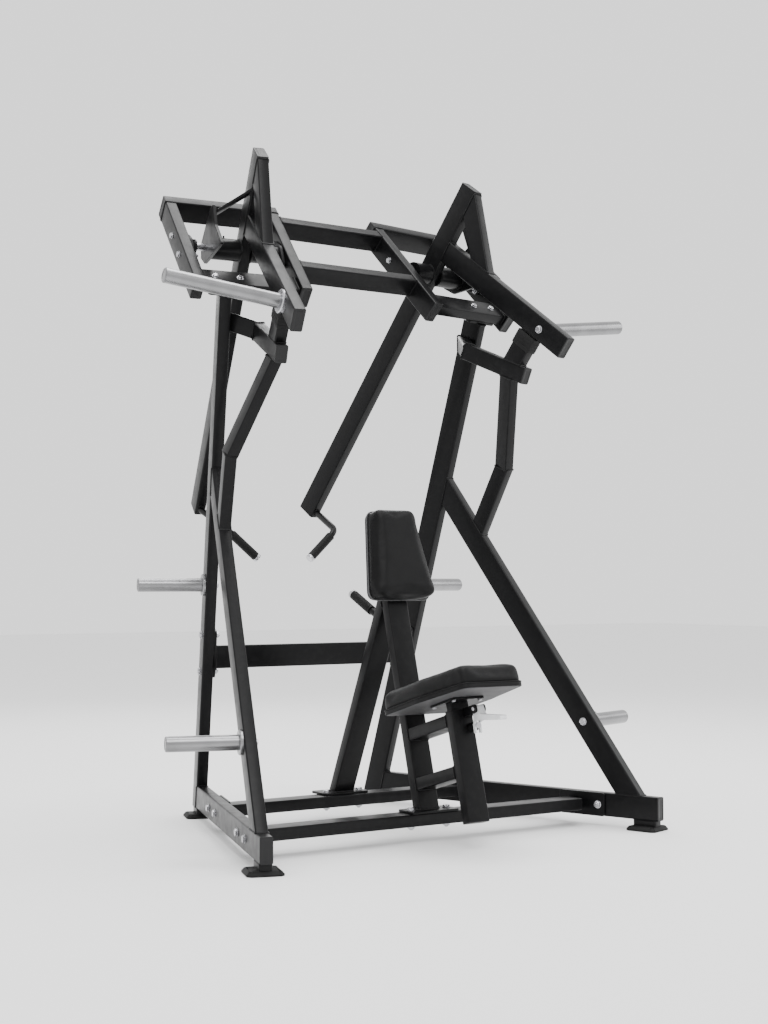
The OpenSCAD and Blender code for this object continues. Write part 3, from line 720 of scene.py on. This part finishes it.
# ---------------------------------------------------------------- cross members
def cross_centre(y):
    """Where along the side frame a cross member at depth y meets it."""
    return -(y + 20 * sin(radians(SPLAY))) / cos(radians(SPLAY))


def mirrored(cut):
    """The same cut on the other side of the machine."""
    co, no = cut
    return MIRROR @ co, MIRROR.to_3x3() @ no


def cross(y):
    """Cross member at depth y with an end plate on each side."""
    p = Piece()
    cut = plane(SIDE, "y", -48, 1)
    p.prism(WORLD @ T(-620, y, 74) @ R(90, "X"), 0, 1240, BOX80, [cut, mirrored(cut)], (0, 1))
    for s in (Matrix(), MIRROR):
        p.slab(s @ SIDE @ T(cross_centre(y), -40, 74) @ R(90, "X"), -90, 90, -40, 40, 8, 9)
    return p


def mid_beam():
    p = Piece()
    cut = plane(SIDE, "y", -48, 1)
    p.prism(WORLD @ T(-620, 920, 578), 0, 1240, BOX80, [cut, mirrored(cut)], (0, 1))
    for s in (Matrix(), MIRROR):
        p.slab(s @ POST @ T(-40, -40, 605) @ R(90, "X"), -36, 36, -85, 85, 8, 9)
    return p


cross(REAR_Y).emit("cross_tube_rear", "frame", ["cross_rear"], "powder_black", BLACK)
cross(FRONT_Y).emit("cross_tube_front", "frame", ["cross_front"], "powder_black", BLACK)
mid_beam().emit("mid_beam_tube", "frame", ["mid_beam"], "powder_black", BLACK)


# ---------------------------------------------------------------- head
def rail(y):
    def build():
        p = Piece()
        p.prism(HEAD @ T(-208, y + 20, 0), 0, 460, BOX80, (), ("start",))
        return p
    return build


def head_tubes():
    p = Piece()
    p.prism(HEAD @ T(-228, -167, 0) @ R(90, "Z"), 0, 414, BOX80)
    p.prism(HEAD @ T(200, -130, 0) @ R(90, "Z") @ R(90, "X"), 0, 340, BOX80, (), ("start", "end"))
    return p


def head_beams():
    p = Piece()
    cut = plane(HEAD, "y", -170, 1)
    splay = radians(LEVER_SPLAY)
    for s in (-167, 105):
        drop = s / math.sqrt(2)
        at = (-700, PIVOT.y - 165 * sin(splay) - drop * cos(splay), PIVOT.z - drop)
        p.prism(WORLD @ T(*at) @ R(45, "X"), 0, 1400, BOX70, [cut, mirrored(cut)], (0, 1))
    return p


both(rail(-170), "inner_rail_tube", "frame", ["inner_rail_@"], "powder_black", BLACK)
both(rail(210), "outer_rail_tube", "frame", ["outer_rail_@"], "powder_black", BLACK)
both(head_tubes, "head_tube_pair", "frame", ["head_tubes_@"], "powder_black", BLACK)
head_beams().emit("head_beam_pair", "frame", ["head_beams"], "powder_black", BLACK)


def bearing(p, m):
    """Flanged housing: oval two-bolt base, a stepped round boss and its seal."""
    # the base is the outline round a row of circles that shrink from the boss to the bolt
    oval = []
    for k in range(96):
        a = 2 * pi * k / 96
        d = 33.0
        for t in range(41):
            cx, r = 56 * (t / 40), 33 - 18 * (t / 40)
            b = cx * abs(cos(a))
            disc = r * r - cx * cx + b * b
            if disc > 0:
                d = max(d, b + math.sqrt(disc))
        oval.append((d * cos(a), d * sin(a)))
    p.plate(m, oval, 12.6, 2.0)
    boss = [(12.7, 0), (30, 0), (29, 13), (25.6, 15.5), (25, 17), (25, 28), (23, 30)]
    seal = [(19.5, 30), (19, 28.4), (16.5, 28.4), (16.2, 29.6), (12.7, 29.6)]
    p.lathe(m, boss + seal, 64)
    nipple = [(0.1, 0), (3.4, 0), (3.4, 5), (2.2, 6), (2.2, 9), (2.9, 10), (2.2, 12), (0.1, 12.4)]
    p.lathe(m @ T(0, 20, 12) @ R(-38, "X"), nipple, 16)


def bearings():
    p = Piece()
    bearing(p, HEAD @ T(0, -130, 0) @ R(-90, "X"))
    bearing(p, HEAD @ T(0, 210, 0) @ R(90, "X"))
    return p


both(bearings, "bearing_unit", "frame", ["bearings"], "bearing_iron", IRON)

# ---------------------------------------------------------------- centre
p = Piece()
strut_ends = [plane(WORLD, "z", 102, -1), plane(INCLINE, "y", 40, -1)]
p.prism(STRUT @ T(0, 20, -60) @ UP, 0, 1000, BOX80, strut_ends, (0, 1))
p.slab(WORLD @ T(0, 730, 94), -90, 90, -50, 50, 8, 9)
p.emit("pad_strut_tube", "frame", ["pad_strut"], "powder_black", BLACK)
p = Piece()
p.prism(INCLINE @ T(0, 20, -60) @ UP, 0, 1007, BOX80, [plane(WORLD, "z", 102, -1)], (0,))
p.slab(WORLD @ T(0, 181, 94), -92, 92, -45, 45, 8, 9)
p.emit("pad_post_tube", "frame", ["pad_post"], "powder_black", BLACK)
p = Piece()
p.prism(INCLINE @ T(0, -241, -69) @ UP, 0, 352, BOX80)
p.emit("seat_post_tube", "frame", ["seat_post"], "powder_black", BLACK)
p = Piece()
p.cap(INCLINE @ T(0, 20, 947) @ UP)
p.cap(INCLINE @ T(0, -241, -69) @ R(90, "Y"))
p.emit("post_plug_pair", "frame", [], "plastic_black", PLUG)
p = Piece()
for z in (92.5, 256):
    p.prism(INCLINE @ T(0, -221, z) @ R(90, "Z") @ R(90, "X"), 0, 221, BOX80, (), ("start", "end"))
p.emit("seat_rung_pair", "frame", ["seat_rungs"], "powder_black", BLACK)

# stabiliser handle behind the pad strut
GRAB = STRUT @ T(0, 40, 659) @ OUT
p = Piece()
p.lathe(GRAB, [(0.1, -2), (12.5, -2), (12.5, 195), (0.1, 195)], 40)
p.bead([GRAB @ Vector((12.5 * cos(a * pi / 12), 12.5 * sin(a * pi / 12), 1)) for a in range(24)], 2.8)
p.emit("stabiliser_tube", "frame", ["stabiliser_bar"], "powder_black", BLACK)


def grip(p, m, z0, z1):
    """Ribbed rubber grip with rolled ends."""
    prof = [(12.7, z0), (15.0, z0), (16.5, z0 + 1.5)]
    z = z0 + 3
    while z < z1 - 5:
        prof += [(16.5, z), (16.5, z + 3.1), (16.0, z + 3.5), (16.0, z + 4.1)]
        z += 4.5
    prof += [(16.5, z1 - 1.5), (15.0, z1), (12.7, z1)]
    p.lathe(m, prof, 40)


def grip_cap(p, m, z0):
    """Round metal cap that closes a grip."""
    profile = [(0.1, 0), (15.8, 0), (16.5, 0.7), (16.5, 9.5), (15.6, 11.2), (13.5, 12), (0.1, 12)]
    p.lathe(m, [(r, z0 + z) for r, z in profile], 48)


p = Piece()
grip(p, GRAB, 67, 195)
p.emit("stabiliser_sleeve", "frame", ["stabiliser_grip"], "rubber_black", GRIP)
p = Piece()
grip_cap(p, GRAB, 195.2)
p.emit("stabiliser_end", "frame", ["stabiliser_cap"], "silver_cap", SILVER)


# ---------------------------------------------------------------- plate horns
def horn(p, m, length, root=0.0):
    """Bar that holds weight plates, from root to length, with a chamfered and dished end."""
    r = HORN_D / 2
    shank = [(0.1, root), (r, root), (r, length - 3)]
    end = [(r - 3, length), (r - 7, length), (r - 7.6, length - 1.4), (0.1, length - 1.4)]
    p.lathe(m, shank + end, 64)


def collar(p, m, z0, z1):
    """Round flange at the foot of a horn."""
    outside = [(24.1, z0), (38, z0), (39, z0 + 1), (39, z1 - 3)]
    face = [(36.4, z1), (28, z1), (27, z1 - 1), (24.1, z1 - 1)]
    p.lathe(m, outside + face, 64)


def stored_horns():
    p = Piece()
    for m in (POST @ T(-40, 0, 850) @ OUT, LEG @ T(-40, 0, 468) @ OUT):
        horn(p, m, STORE_LEN)
        collar(p, m, 0, 10)
    return p


both(stored_horns, "storage_horn", "frame", ["storage_horns"], "stainless", STAINLESS)


# ---------------------------------------------------------------- fasteners of the frame
def frame_bolts():
    p = Piece()
    for y in (REAR_Y, FRONT_Y):
        for k in (-65, 65):
            m = SIDE @ T(cross_centre(y) + k, 0, 74)
            p.hex_head(m @ R(-90, "X"), 12)
            p.nut(m @ T(0, -48, 0) @ R(90, "X"), 12)
    for z in (534, 669):
        m = POST @ T(-40, 0, z)
        p.hex_head(m @ R(-90, "X"), 12)
        p.nut(m @ T(0, -48, 0) @ R(90, "X"), 12)
    for m in (POST @ T(-40, -40, 850), LEG @ T(-40, -40, 468)):
        p.hex_head(m @ R(90, "X"), 12)
    for k in (-56, 56):
        for y, s in ((-170, 1), (250, -1)):
            p.hex_head(HEAD @ T(k, y, 0) @ R(90 * s, "X"), 10)
        p.nut(HEAD @ T(k, -117.2, 0) @ R(-90, "X"), 10)
        p.nut(HEAD @ T(k, 197.2, 0) @ R(90, "X"), 10)
    for y in (74, 162):
        p.hex_head(HEAD @ T(200, y, 20), 10)
        p.nut(HEAD @ T(200, y, -30) @ R(180, "X"), 10)
    for x, y in ((67, 712), (70, FRONT_Y)):
        p.hex_head(WORLD @ T(x, y, 102), 12)
        p.nut(WORLD @ T(x, y, 54) @ R(180, "X"), 12)
    return p


both(frame_bolts, "frame_bolt", "frame", ["frame_bolts"], "zinc_steel", ZINC)
p = Piece()
m = INCLINE @ T(PIN_X - 24, YOKE_Y, YOKE_Z) @ R(90, "Y")
p.lathe(m, [(0.1, 0), (5.5, 0), (6.5, 1), (6.5, 4), (4, 4), (4, 47), (3.2, 48), (0.1, 48)], 24)
p.emit("adjuster_hinge_pin", "frame", [], "zinc_steel", ZINC)


# ---------------------------------------------------------------- levers
def lever_arm():
    p = Piece()
    p.prism(ARM, -ARM_UP, ARM_DOWN, BOX80)
    return p


def weight_arm():
    p = Piece()
    p.prism(WEIGHT, -760, 0, BOX80, [plane(ARM, "z", 40, -1)], (0,))
    ends = [plane(ARM, "z", 40, -1), plane(WEIGHT, "z", 40, -1)]
    p.prism(FRONT @ T(0, 0, -35), -420, 100, BOX70, ends, (0, 1))
    return p


def hub():
    p = Piece()
    pipe = circle(38)
    outer = [plane(LEVER, "y", 20, -1), plane(LEVER, "y", 130, 1)]
    p.prism(AXLE @ R(90, "Z"), 0, 150, pipe, outer, (0, 1))
    inner = [plane(LEVER, "y", -92, -1), plane(LEVER, "y", -20, 1)]
    p.prism(AXLE @ R(90, "Z"), -110, 0, pipe, inner, (1,))
    cheek = [(125, 122), (98, 122), (29, 74), (-40, 20), (-40, -30), (9, -57), (239, -31), (152, 48)]
    o = corner_round(cheek, [3, 3, 12, 10, 10, 10, 6, 14], 5)
    p.plate(LEVER @ T(0, 142, 0) @ R(90, "X"), o, 12, 1.5)
    brace = LEVER @ T(172, 0, 182) @ R(27.7, "Z") @ R(-30.1, "X")
    ends = [plane(LEVER, "y", 20, -1), plane(LEVER, "y", 130.5, 1)]
    p.prism(brace @ R(90, "Z"), 0, 190, rounded(28, 10, 3), ends, (0,))
    # grease nipple on the hub pipe
    n = LEVER @ T(11, 74, 33)
    p.lathe(n, [(0.1, -1), (5, -1), (5, 3), (3.4, 4), (3.0, 8), (3.6, 9.5), (3.0, 11.5), (0.1, 12)], 20)
    return p


def load_horn():
    p = Piece()
    p.prism(LOAD @ R(90, "Z"), -30, LOAD_LEN - 3, circle(HORN_D / 2), [plane(LEVER, "y", 20, -1)])
    horn(p, LOAD @ OUT, LOAD_LEN, LOAD_LEN - 4)
    return p


def lever_fittings():
    p = Piece()
    b = Piece()
    collar(b, LOAD @ OUT, -12, 12)
    slice_off(b.bm, plane(LEVER, "y", 20.2, -1))
    p.take(b.bm)
    p.hex_head(LEVER @ T(LOAD_X, -20, LOAD_Z) @ R(90, "X"), 12)
    p.lathe(AXLE @ OUT, [(0.1, -168), (11.5, -168), (12.5, -167), (12.5, 247), (11.5, 248), (0.1, 248)], 40)
    grip_cap(p, HANDLE, 160.2)
    return p


HANDLE_ROOT = Vector((-601, 0, -874))
HANDLE_BEND = Vector((-436.5, -55, -949))
HANDLE_END = Vector((-449, -180.5, -1059))
HANDLE = LEVER @ along(HANDLE_BEND, HANDLE_END)


def handle_bar():
    """Round bar from the arm's front face, bent once; its root is cut inside the arm."""
    p = Piece()
    a = HANDLE_ROOT - (HANDLE_BEND - HANDLE_ROOT) * 0.1
    d1 = (HANDLE_BEND - a).normalized()
    d2 = (HANDLE_END - HANDLE_BEND).normalized()
    bend = 34
    pts = [a, a + d1 * 20]
    q0, q1 = HANDLE_BEND - d1 * bend, HANDLE_BEND + d2 * bend
    for k in range(13):
        t = k / 12
        pts.append(q0 * (1 - t) ** 2 + HANDLE_BEND * 2 * t * (1 - t) + q1 * t * t)
    pts.append(HANDLE_BEND + d2 * 160)
    b = Piece()
    b.tube_path([LEVER @ v for v in pts], 12.5, 32)
    slice_off(b.bm, plane(ARM, "z", 38, -1))
    p.take(b.bm)
    # weld where the bar meets the arm's front face
    c = LEVER @ HANDLE_ROOT
    f = ARM.inverted() @ c
    ax = ARM.inverted().to_3x3() @ (LEVER.to_3x3() @ d1)
    f = f + ax * ((40.5 - f.z) / ax.z)
    seam = [Vector((f.x + 15 * cos(t * pi / 14), f.y + 13 * sin(t * pi / 14), 40.5)) for t in range(28)]
    p.bead([ARM @ v for v in seam], 2.8)
    return p


def handle_grip():
    p = Piece()
    grip(p, HANDLE, 32, 160)
    return p


def lever_plugs():
    p = Piece()
    p.cap(ARM @ T(ARM_DOWN, 0, 0))
    p.cap(ARM @ T(-ARM_UP, 0, 0) @ R(180, "Y"))
    p.cap(WEIGHT)
    return p


both(lever_arm, "lever_arm_tube", "lever", ["lever_arm_@"], "powder_black", BLACK)
both(weight_arm, "weight_arm_tubes", "lever", ["weight_arm_@"], "powder_black", BLACK)
both(hub, "lever_hub_weldment", "lever", ["lever_hub_@"], "powder_black", BLACK)
both(load_horn, "load_horn_bar", "lever", ["lever_horn_@"], "stainless", STAINLESS)
both(lever_fittings, "lever_fitting_set", "lever", ["lever_fittings_@"], "zinc_steel", ZINC)
both(lever_plugs, "lever_plug_set", "lever", ["lever_caps_@"], "plastic_black", PLUG)
both(handle_bar, "handle_tube", "lever", ["handle_bar_@"], "powder_black", BLACK)
both(handle_grip, "handle_sleeve", "lever", ["handle_grip_@"], "rubber_black", GRIP)


# ---------------------------------------------------------------- seat and chest pad
CHEST = [(-130, -10), (130, -10), (86, 307), (-86, 307)]
SEAT = [(-118, -452), (118, -452), (148, -230), (148, -20), (-148, -20), (-148, -230)]
chest_round = corner_round(CHEST, 36)
seat_round = corner_round(SEAT, [32, 32, 120, 34, 34, 120])
CHEST_M = INCLINE @ T(0, 0, 716) @ R(90, "X")
CLOTH_FRAMES = 16


def cushion(name, m, outline, thick, z0, body, node_name, cap, crown, seed):
    """Foam cushion: a slightly undersized block is blown out by cloth pressure, capped, and refined."""
    b = bmesh.new()
    o = resample(inset(outline, 5), 9)
    side = [(0.0, 1.5), (2.0, 0), (thick * 0.35, 0), (thick * 0.7, 0.0)]
    shoulder = [(thick - 9, 2.5), (thick - 3.5, 7.5), (thick - 2, 14)]
    rings = []
    for z, s in side + shoulder:
        q = inset(o, s) if s else o
        rings.append([b.verts.new(m @ Vector((x, y, z0 + z))) for x, y in q])
    skin(b, rings)
    bmesh.ops.recalc_face_normals(b, faces=b.faces[:])
    b.transform(Matrix.Scale(MM, 4))
    me = bpy.data.meshes.new(name)
    b.to_mesh(me)
    b.free()
    ob = bpy.data.objects.new(name, me)
    scene.collection.objects.link(ob)
    bpy.context.view_layer.objects.active = ob
    for x in bpy.context.selected_objects:
        x.select_set(False)
    ob.select_set(True)
    rm = ob.modifiers.new("remesh", "REMESH")
    rm.mode = "VOXEL"
    rm.voxel_size = 0.006
    bpy.ops.object.modifier_apply(modifier="remesh")
    inv = (Matrix.Scale(MM, 4) @ m).inverted()
    start = [v.co.copy() for v in ob.data.vertices]
    # the back of the cushion is glued to its board
    vg = ob.vertex_groups.new(name="glued")
    vg.add([i for i, c in enumerate(start) if (inv @ c).z < z0 + 5], 1.0, "REPLACE")
    cl = ob.modifiers.new("cloth", "CLOTH")
    s = cl.settings
    s.quality = 6
    s.mass = 0.3
    s.use_pressure = True
    s.uniform_pressure_force = 3.5
    s.effector_weights.gravity = 0
    s.tension_stiffness = s.compression_stiffness = 12
    s.shear_stiffness = 8
    s.bending_stiffness = 1.0
    s.vertex_group_mass = "glued"
    cl.point_cache.frame_start, cl.point_cache.frame_end = 1, CLOTH_FRAMES
    for f in range(1, CLOTH_FRAMES + 1):
        scene.frame_set(f)
    bpy.ops.object.modifier_apply(modifier="cloth")
    scene.frame_set(1)
    limit = cap * MM
    for v, c in zip(ob.data.vertices, start):
        d = v.co - c
        if d.length > limit:
            v.co = c + d * (limit / d.length)
    # crown, and sides held inside the solid they stand for
    top = z0 + thick
    cx = sum(p[0] for p in outline) / len(outline)
    cy = sum(p[1] for p in outline) / len(outline)
    ex = max(abs(p[0] - cx) for p in outline)
    ey = max(abs(p[1] - cy) for p in outline)
    full = Matrix.Scale(MM, 4) @ m
    for v in ob.data.vertices:
        q = inv @ v.co
        k = max(0.0, (q.z - z0) / thick)
        u = min(1, abs(q.x - cx) / ex)
        w = min(1, abs(q.y - cy) / ey)
        q.z += crown * k * (1 - u ** 3) * (1 - w ** 4)
        q.z += 0.3 * noise.noise(Vector((q.x, q.y, q.z)) * 0.018 + Vector((seed, 0, 0))) * k
        q.z = min(q.z, top + 4.5)
        q.z = max(q.z, z0 + 0.1)
        v.co = full @ q
    sub = ob.modifiers.new("smooth", "CORRECTIVE_SMOOTH")
    sub.iterations = 6
    sub.use_only_smooth = True
    bpy.ops.object.modifier_apply(modifier="smooth")
    sd = ob.modifiers.new("subdivide", "SUBSURF")
    sd.levels = sd.render_levels = 1
    bpy.ops.object.modifier_apply(modifier="subdivide")
    ob.select_set(False)
    for f in ob.data.polygons:
        f.use_smooth = True
    ob.data.materials.append(VINYL)
    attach(ob, body)
    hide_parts(node_name)


cushion("chest_pad_cushion", CHEST_M, chest_round, 60, 15, "frame", "chest_cushion", 6, 2.5, 3.0)
cushion("seat_pad_cushion", INCLINE, seat_round, 60, 330, "seat", "seat_cushion", 6, 2.5, 9.0)


def board(m, outline, z0, t):
    """Board of thickness t under a cushion."""
    p = Piece()
    p.plate(m @ T(0, 0, z0), resample(inset(outline, 6), 8), t, 1.6)
    return p


board(CHEST_M, chest_round, 0, 14.8).emit("chest_pad_board", "frame", ["chest_board"], "board_black", BOARD)
board(INCLINE, seat_round, 316, 2).emit("seat_pad_board", "seat", ["seat_board"], "board_grey", GREY)
# the cover is pulled down over the edge of the board
p = Piece()
wrap = [(0, 6), (0.4, 3.4), (1.8, 2.2), (11.5, 2), (13.2, 2.8), (13.6, 5)]
p.loft(INCLINE @ T(0, 0, 316.5), resample(seat_round, 8), wrap)
p.emit("seat_pad_wrap", "seat", [], "vinyl_black", VINYL)


def piping(m, outline, z, d):
    """Welt round a pad, d inside its outline."""
    p = Piece()
    o = resample(inset(outline, d), 5)
    p.tube_path([m @ Vector((x, y, z)) for x, y in o + o[:2]], 2.6, 10, ends=False)
    return p


# the chest welt takes the painted-highlight grey in place of the black vinyl it is made of
piping(CHEST_M, chest_round, 16.5, 3.5).emit("chest_pad_piping", "frame", [], "vinyl_black", PIPING_HIGHLIGHT)
piping(INCLINE, seat_round, 331.5, 3.5).emit("seat_pad_piping", "seat", [], "vinyl_black", VINYL)


# ---------------------------------------------------------------- seat stem and adjuster
STEM_TOP, STEM_Y = 308, -241
p = Piece()
p.prism(INCLINE @ T(0, STEM_Y, 80) @ UP, 0, STEM_TOP - 80, rounded(30, 68, 4))
stem = p.emit("seat_stem_tube", "seat", [], "powder_black", BLACK)
holes = Piece()
HOLE_PITCH = 35
for k in range(4):
    at = INCLINE @ T(PIN_X, STEM_Y - 21, 119 + HOLE_PITCH * k) @ R(-90, "X")
    holes.lathe(at, [(0, 0), (6.5, 0), (6.5, 12), (0, 12)], 32)
carve(stem, holes)
p = Piece()
p.slab(INCLINE @ T(0, 0, STEM_TOP), -60, 60, -311, -171, 8, 8)
p.bead([INCLINE @ Vector((z, y + STEM_Y, STEM_TOP - 0.2)) for y, z in rounded(30, 68, 4)], 1.3)
p.emit("seat_stem_weldment", "seat", ["seat_stem"], "powder_black", BLACK)
p = Piece()
for x in (-51, 51):
    for y in (-296, -186):
        p.hex_head(INCLINE @ T(x, y, STEM_TOP) @ R(180, "X"), 6.6, 4.8, washer=False)
p.emit("seat_bolt_set", "seat", ["seat_bolts"], "zinc_steel", ZINC)

p = Piece()
# plastic bush between the post and the stem, with a rim over the post's edge
bush = rounded(33.6, 73.6, 3)
inner = rounded(30.6, 68.6, 2)
rim = [(38.2, rounded(36, 76, 4)), (39.5, rounded(35, 75, 4))]
at = INCLINE @ T(0, STEM_Y, 246) @ UP
b = bmesh.new()
rings = []
for x, o in [(0, bush), (37, bush)] + rim + [(39.5, inner), (0, inner)]:
    rings.append([b.verts.new(at @ Vector((x, y, z))) for y, z in o])
skin(b, rings + rings[:1], ends=False)
p.add(b)
p.emit("seat_post_bush", "frame", ["seat_bush"], "plastic_black", PLUG)

# adjuster: barrel and two ears that hold the release lever
EAR = 13.4
p = Piece()
barrel = [(13.2, 0), (15.6, 0), (15.6, 3), (15, 4), (15, 22), (13.8, 26)]
p.lathe(PIN, barrel + [(6.4, 26), (6.4, 23), (10, 22.9), (10, 1), (13.2, 1)], 48)
for x in (PIN_X - 20, PIN_X + 14):
    o = corner_round([(-12, -EAR), (57, -EAR), (57, EAR), (-12, EAR)], [EAR - 0.4, 2, 2, EAR - 0.4], 8)
    p.plate(INCLINE @ T(x, YOKE_Y, YOKE_Z) @ R(90, "Y") @ R(90, "Z"), o, 6, 0.8)
p.slab(INCLINE @ T(PIN_X - 3, -261, YOKE_Z) @ R(90, "X"), -17, 23, -EAR, EAR, 6, 2)
p.emit("adjuster_housing", "frame", ["adjuster_body"], "powder_black", BLACK)

p = Piece()
rod = [(0.1, -2.8), (4.6, -2.8), (6, -1.4), (6, 39), (10, 39), (10, 43.6), (8.8, 45), (0.1, 45)]
p.lathe(PIN, rod, 40)
p.emit("pop_pin_rod", "pop_pin", ["adjuster_pin"], "zinc_steel", ZINC)
p = Piece()
coil = [Vector((8 * cos(t * 0.45), 8 * sin(t * 0.45), 8 + t * 0.16)) for t in range(90)]
p.tube_path([PIN @ v for v in coil], 0.7, 8)
p.emit("pop_pin_coil", "frame", ["adjuster_spring"], "zinc_steel", ZINC)

# die-cast release lever: two forked cheeks with a web between them, drawn in the incline's (y, z)
HEAD_END = [(-330, 268), (-326, 285), (-310, 285), (-303, 268)]
FORK = [(-299.5, 240), (-292.2, 226), (-292.2, 202), (-298.8, 202), (-298.8, 234)]
TAIL = [(-319, 238), (-434, 217), (-436, 228), (-334, 252)]
cheek = corner_round(HEAD_END + FORK + TAIL, [5, 6, 6, 5, 3, 3, 2, 2, 3, 8, 5, 5, 10], 5)
web = corner_round(HEAD_END + [(-301, 250), (-310, 240)] + TAIL, [5, 6, 6, 5, 3, 3, 8, 5, 5, 10], 5)
p = Piece()
for x, outline, t, soft in ((-13, cheek, 6.4, 1.4), (6.6, cheek, 6.4, 1.4), (-7, web, 14, 0.6)):
    p.plate(INCLINE @ T(PIN_X + x, 0, 0) @ R(90, "Z") @ R(90, "X"), outline, t, soft)
p.emit("release_lever", "adjuster", ["adjuster_lever"], "cast_white", CAST)

# ---------------------------------------------------------------- studio
bpy.ops.mesh.primitive_plane_add(size=40, location=(0, 0, 0))
floor = bpy.context.object
floor.name = "floor"
floor_look, _, shader = base_material("floor_pale")
shader.inputs["Base Color"].default_value = (0.9, 0.9, 0.9, 1)
shader.inputs["Roughness"].default_value = 0.8
floor.data.materials.append(floor_look)

world = bpy.data.worlds.new("studio")
scene.world = world
world.use_nodes = True
bg = world.node_tree.nodes["Background"]
bg.inputs["Color"].default_value = (1.0, 1.0, 1.0, 1)
bg.inputs["Strength"].default_value = 1.5


def area(name, loc, target, size, power):
    """Rectangular lamp at loc that shines towards target."""
    d = bpy.data.lights.new(name, "AREA")
    d.shape = "RECTANGLE"
    d.size, d.size_y = size
    d.energy = power
    o = bpy.data.objects.new(name, d)
    scene.collection.objects.link(o)
    o.location = loc
    o.rotation_euler = (Vector(target) - Vector(loc)).to_track_quat("-Z", "Y").to_euler()


area("key_soft", (-1.6, -3.6, 4.9), (0, 0, 1.1), (2.4, 2.4), 130)
area("fill_soft", (4.4, -1.6, 3.0), (0, 0, 1.1), (2.0, 2.6), 60)
area("top_soft", (0.3, 0.2, 5.4), (0, 0, 1.0), (3.0, 3.0), 210)
area("back_soft", (1.6, 4.2, 3.6), (0, 0, 1.2), (2.4, 2.0), 90)

cam_data = bpy.data.cameras.new("camera")
cam_data.lens = 56.05
cam_data.sensor_width = 36
cam = bpy.data.objects.new("camera", cam_data)
scene.collection.objects.link(cam)
cam.location = (-3.0071, -4.7235, 0.84)
cam.rotation_euler = (radians(92.53), 0, radians(-33.39))
scene.camera = cam
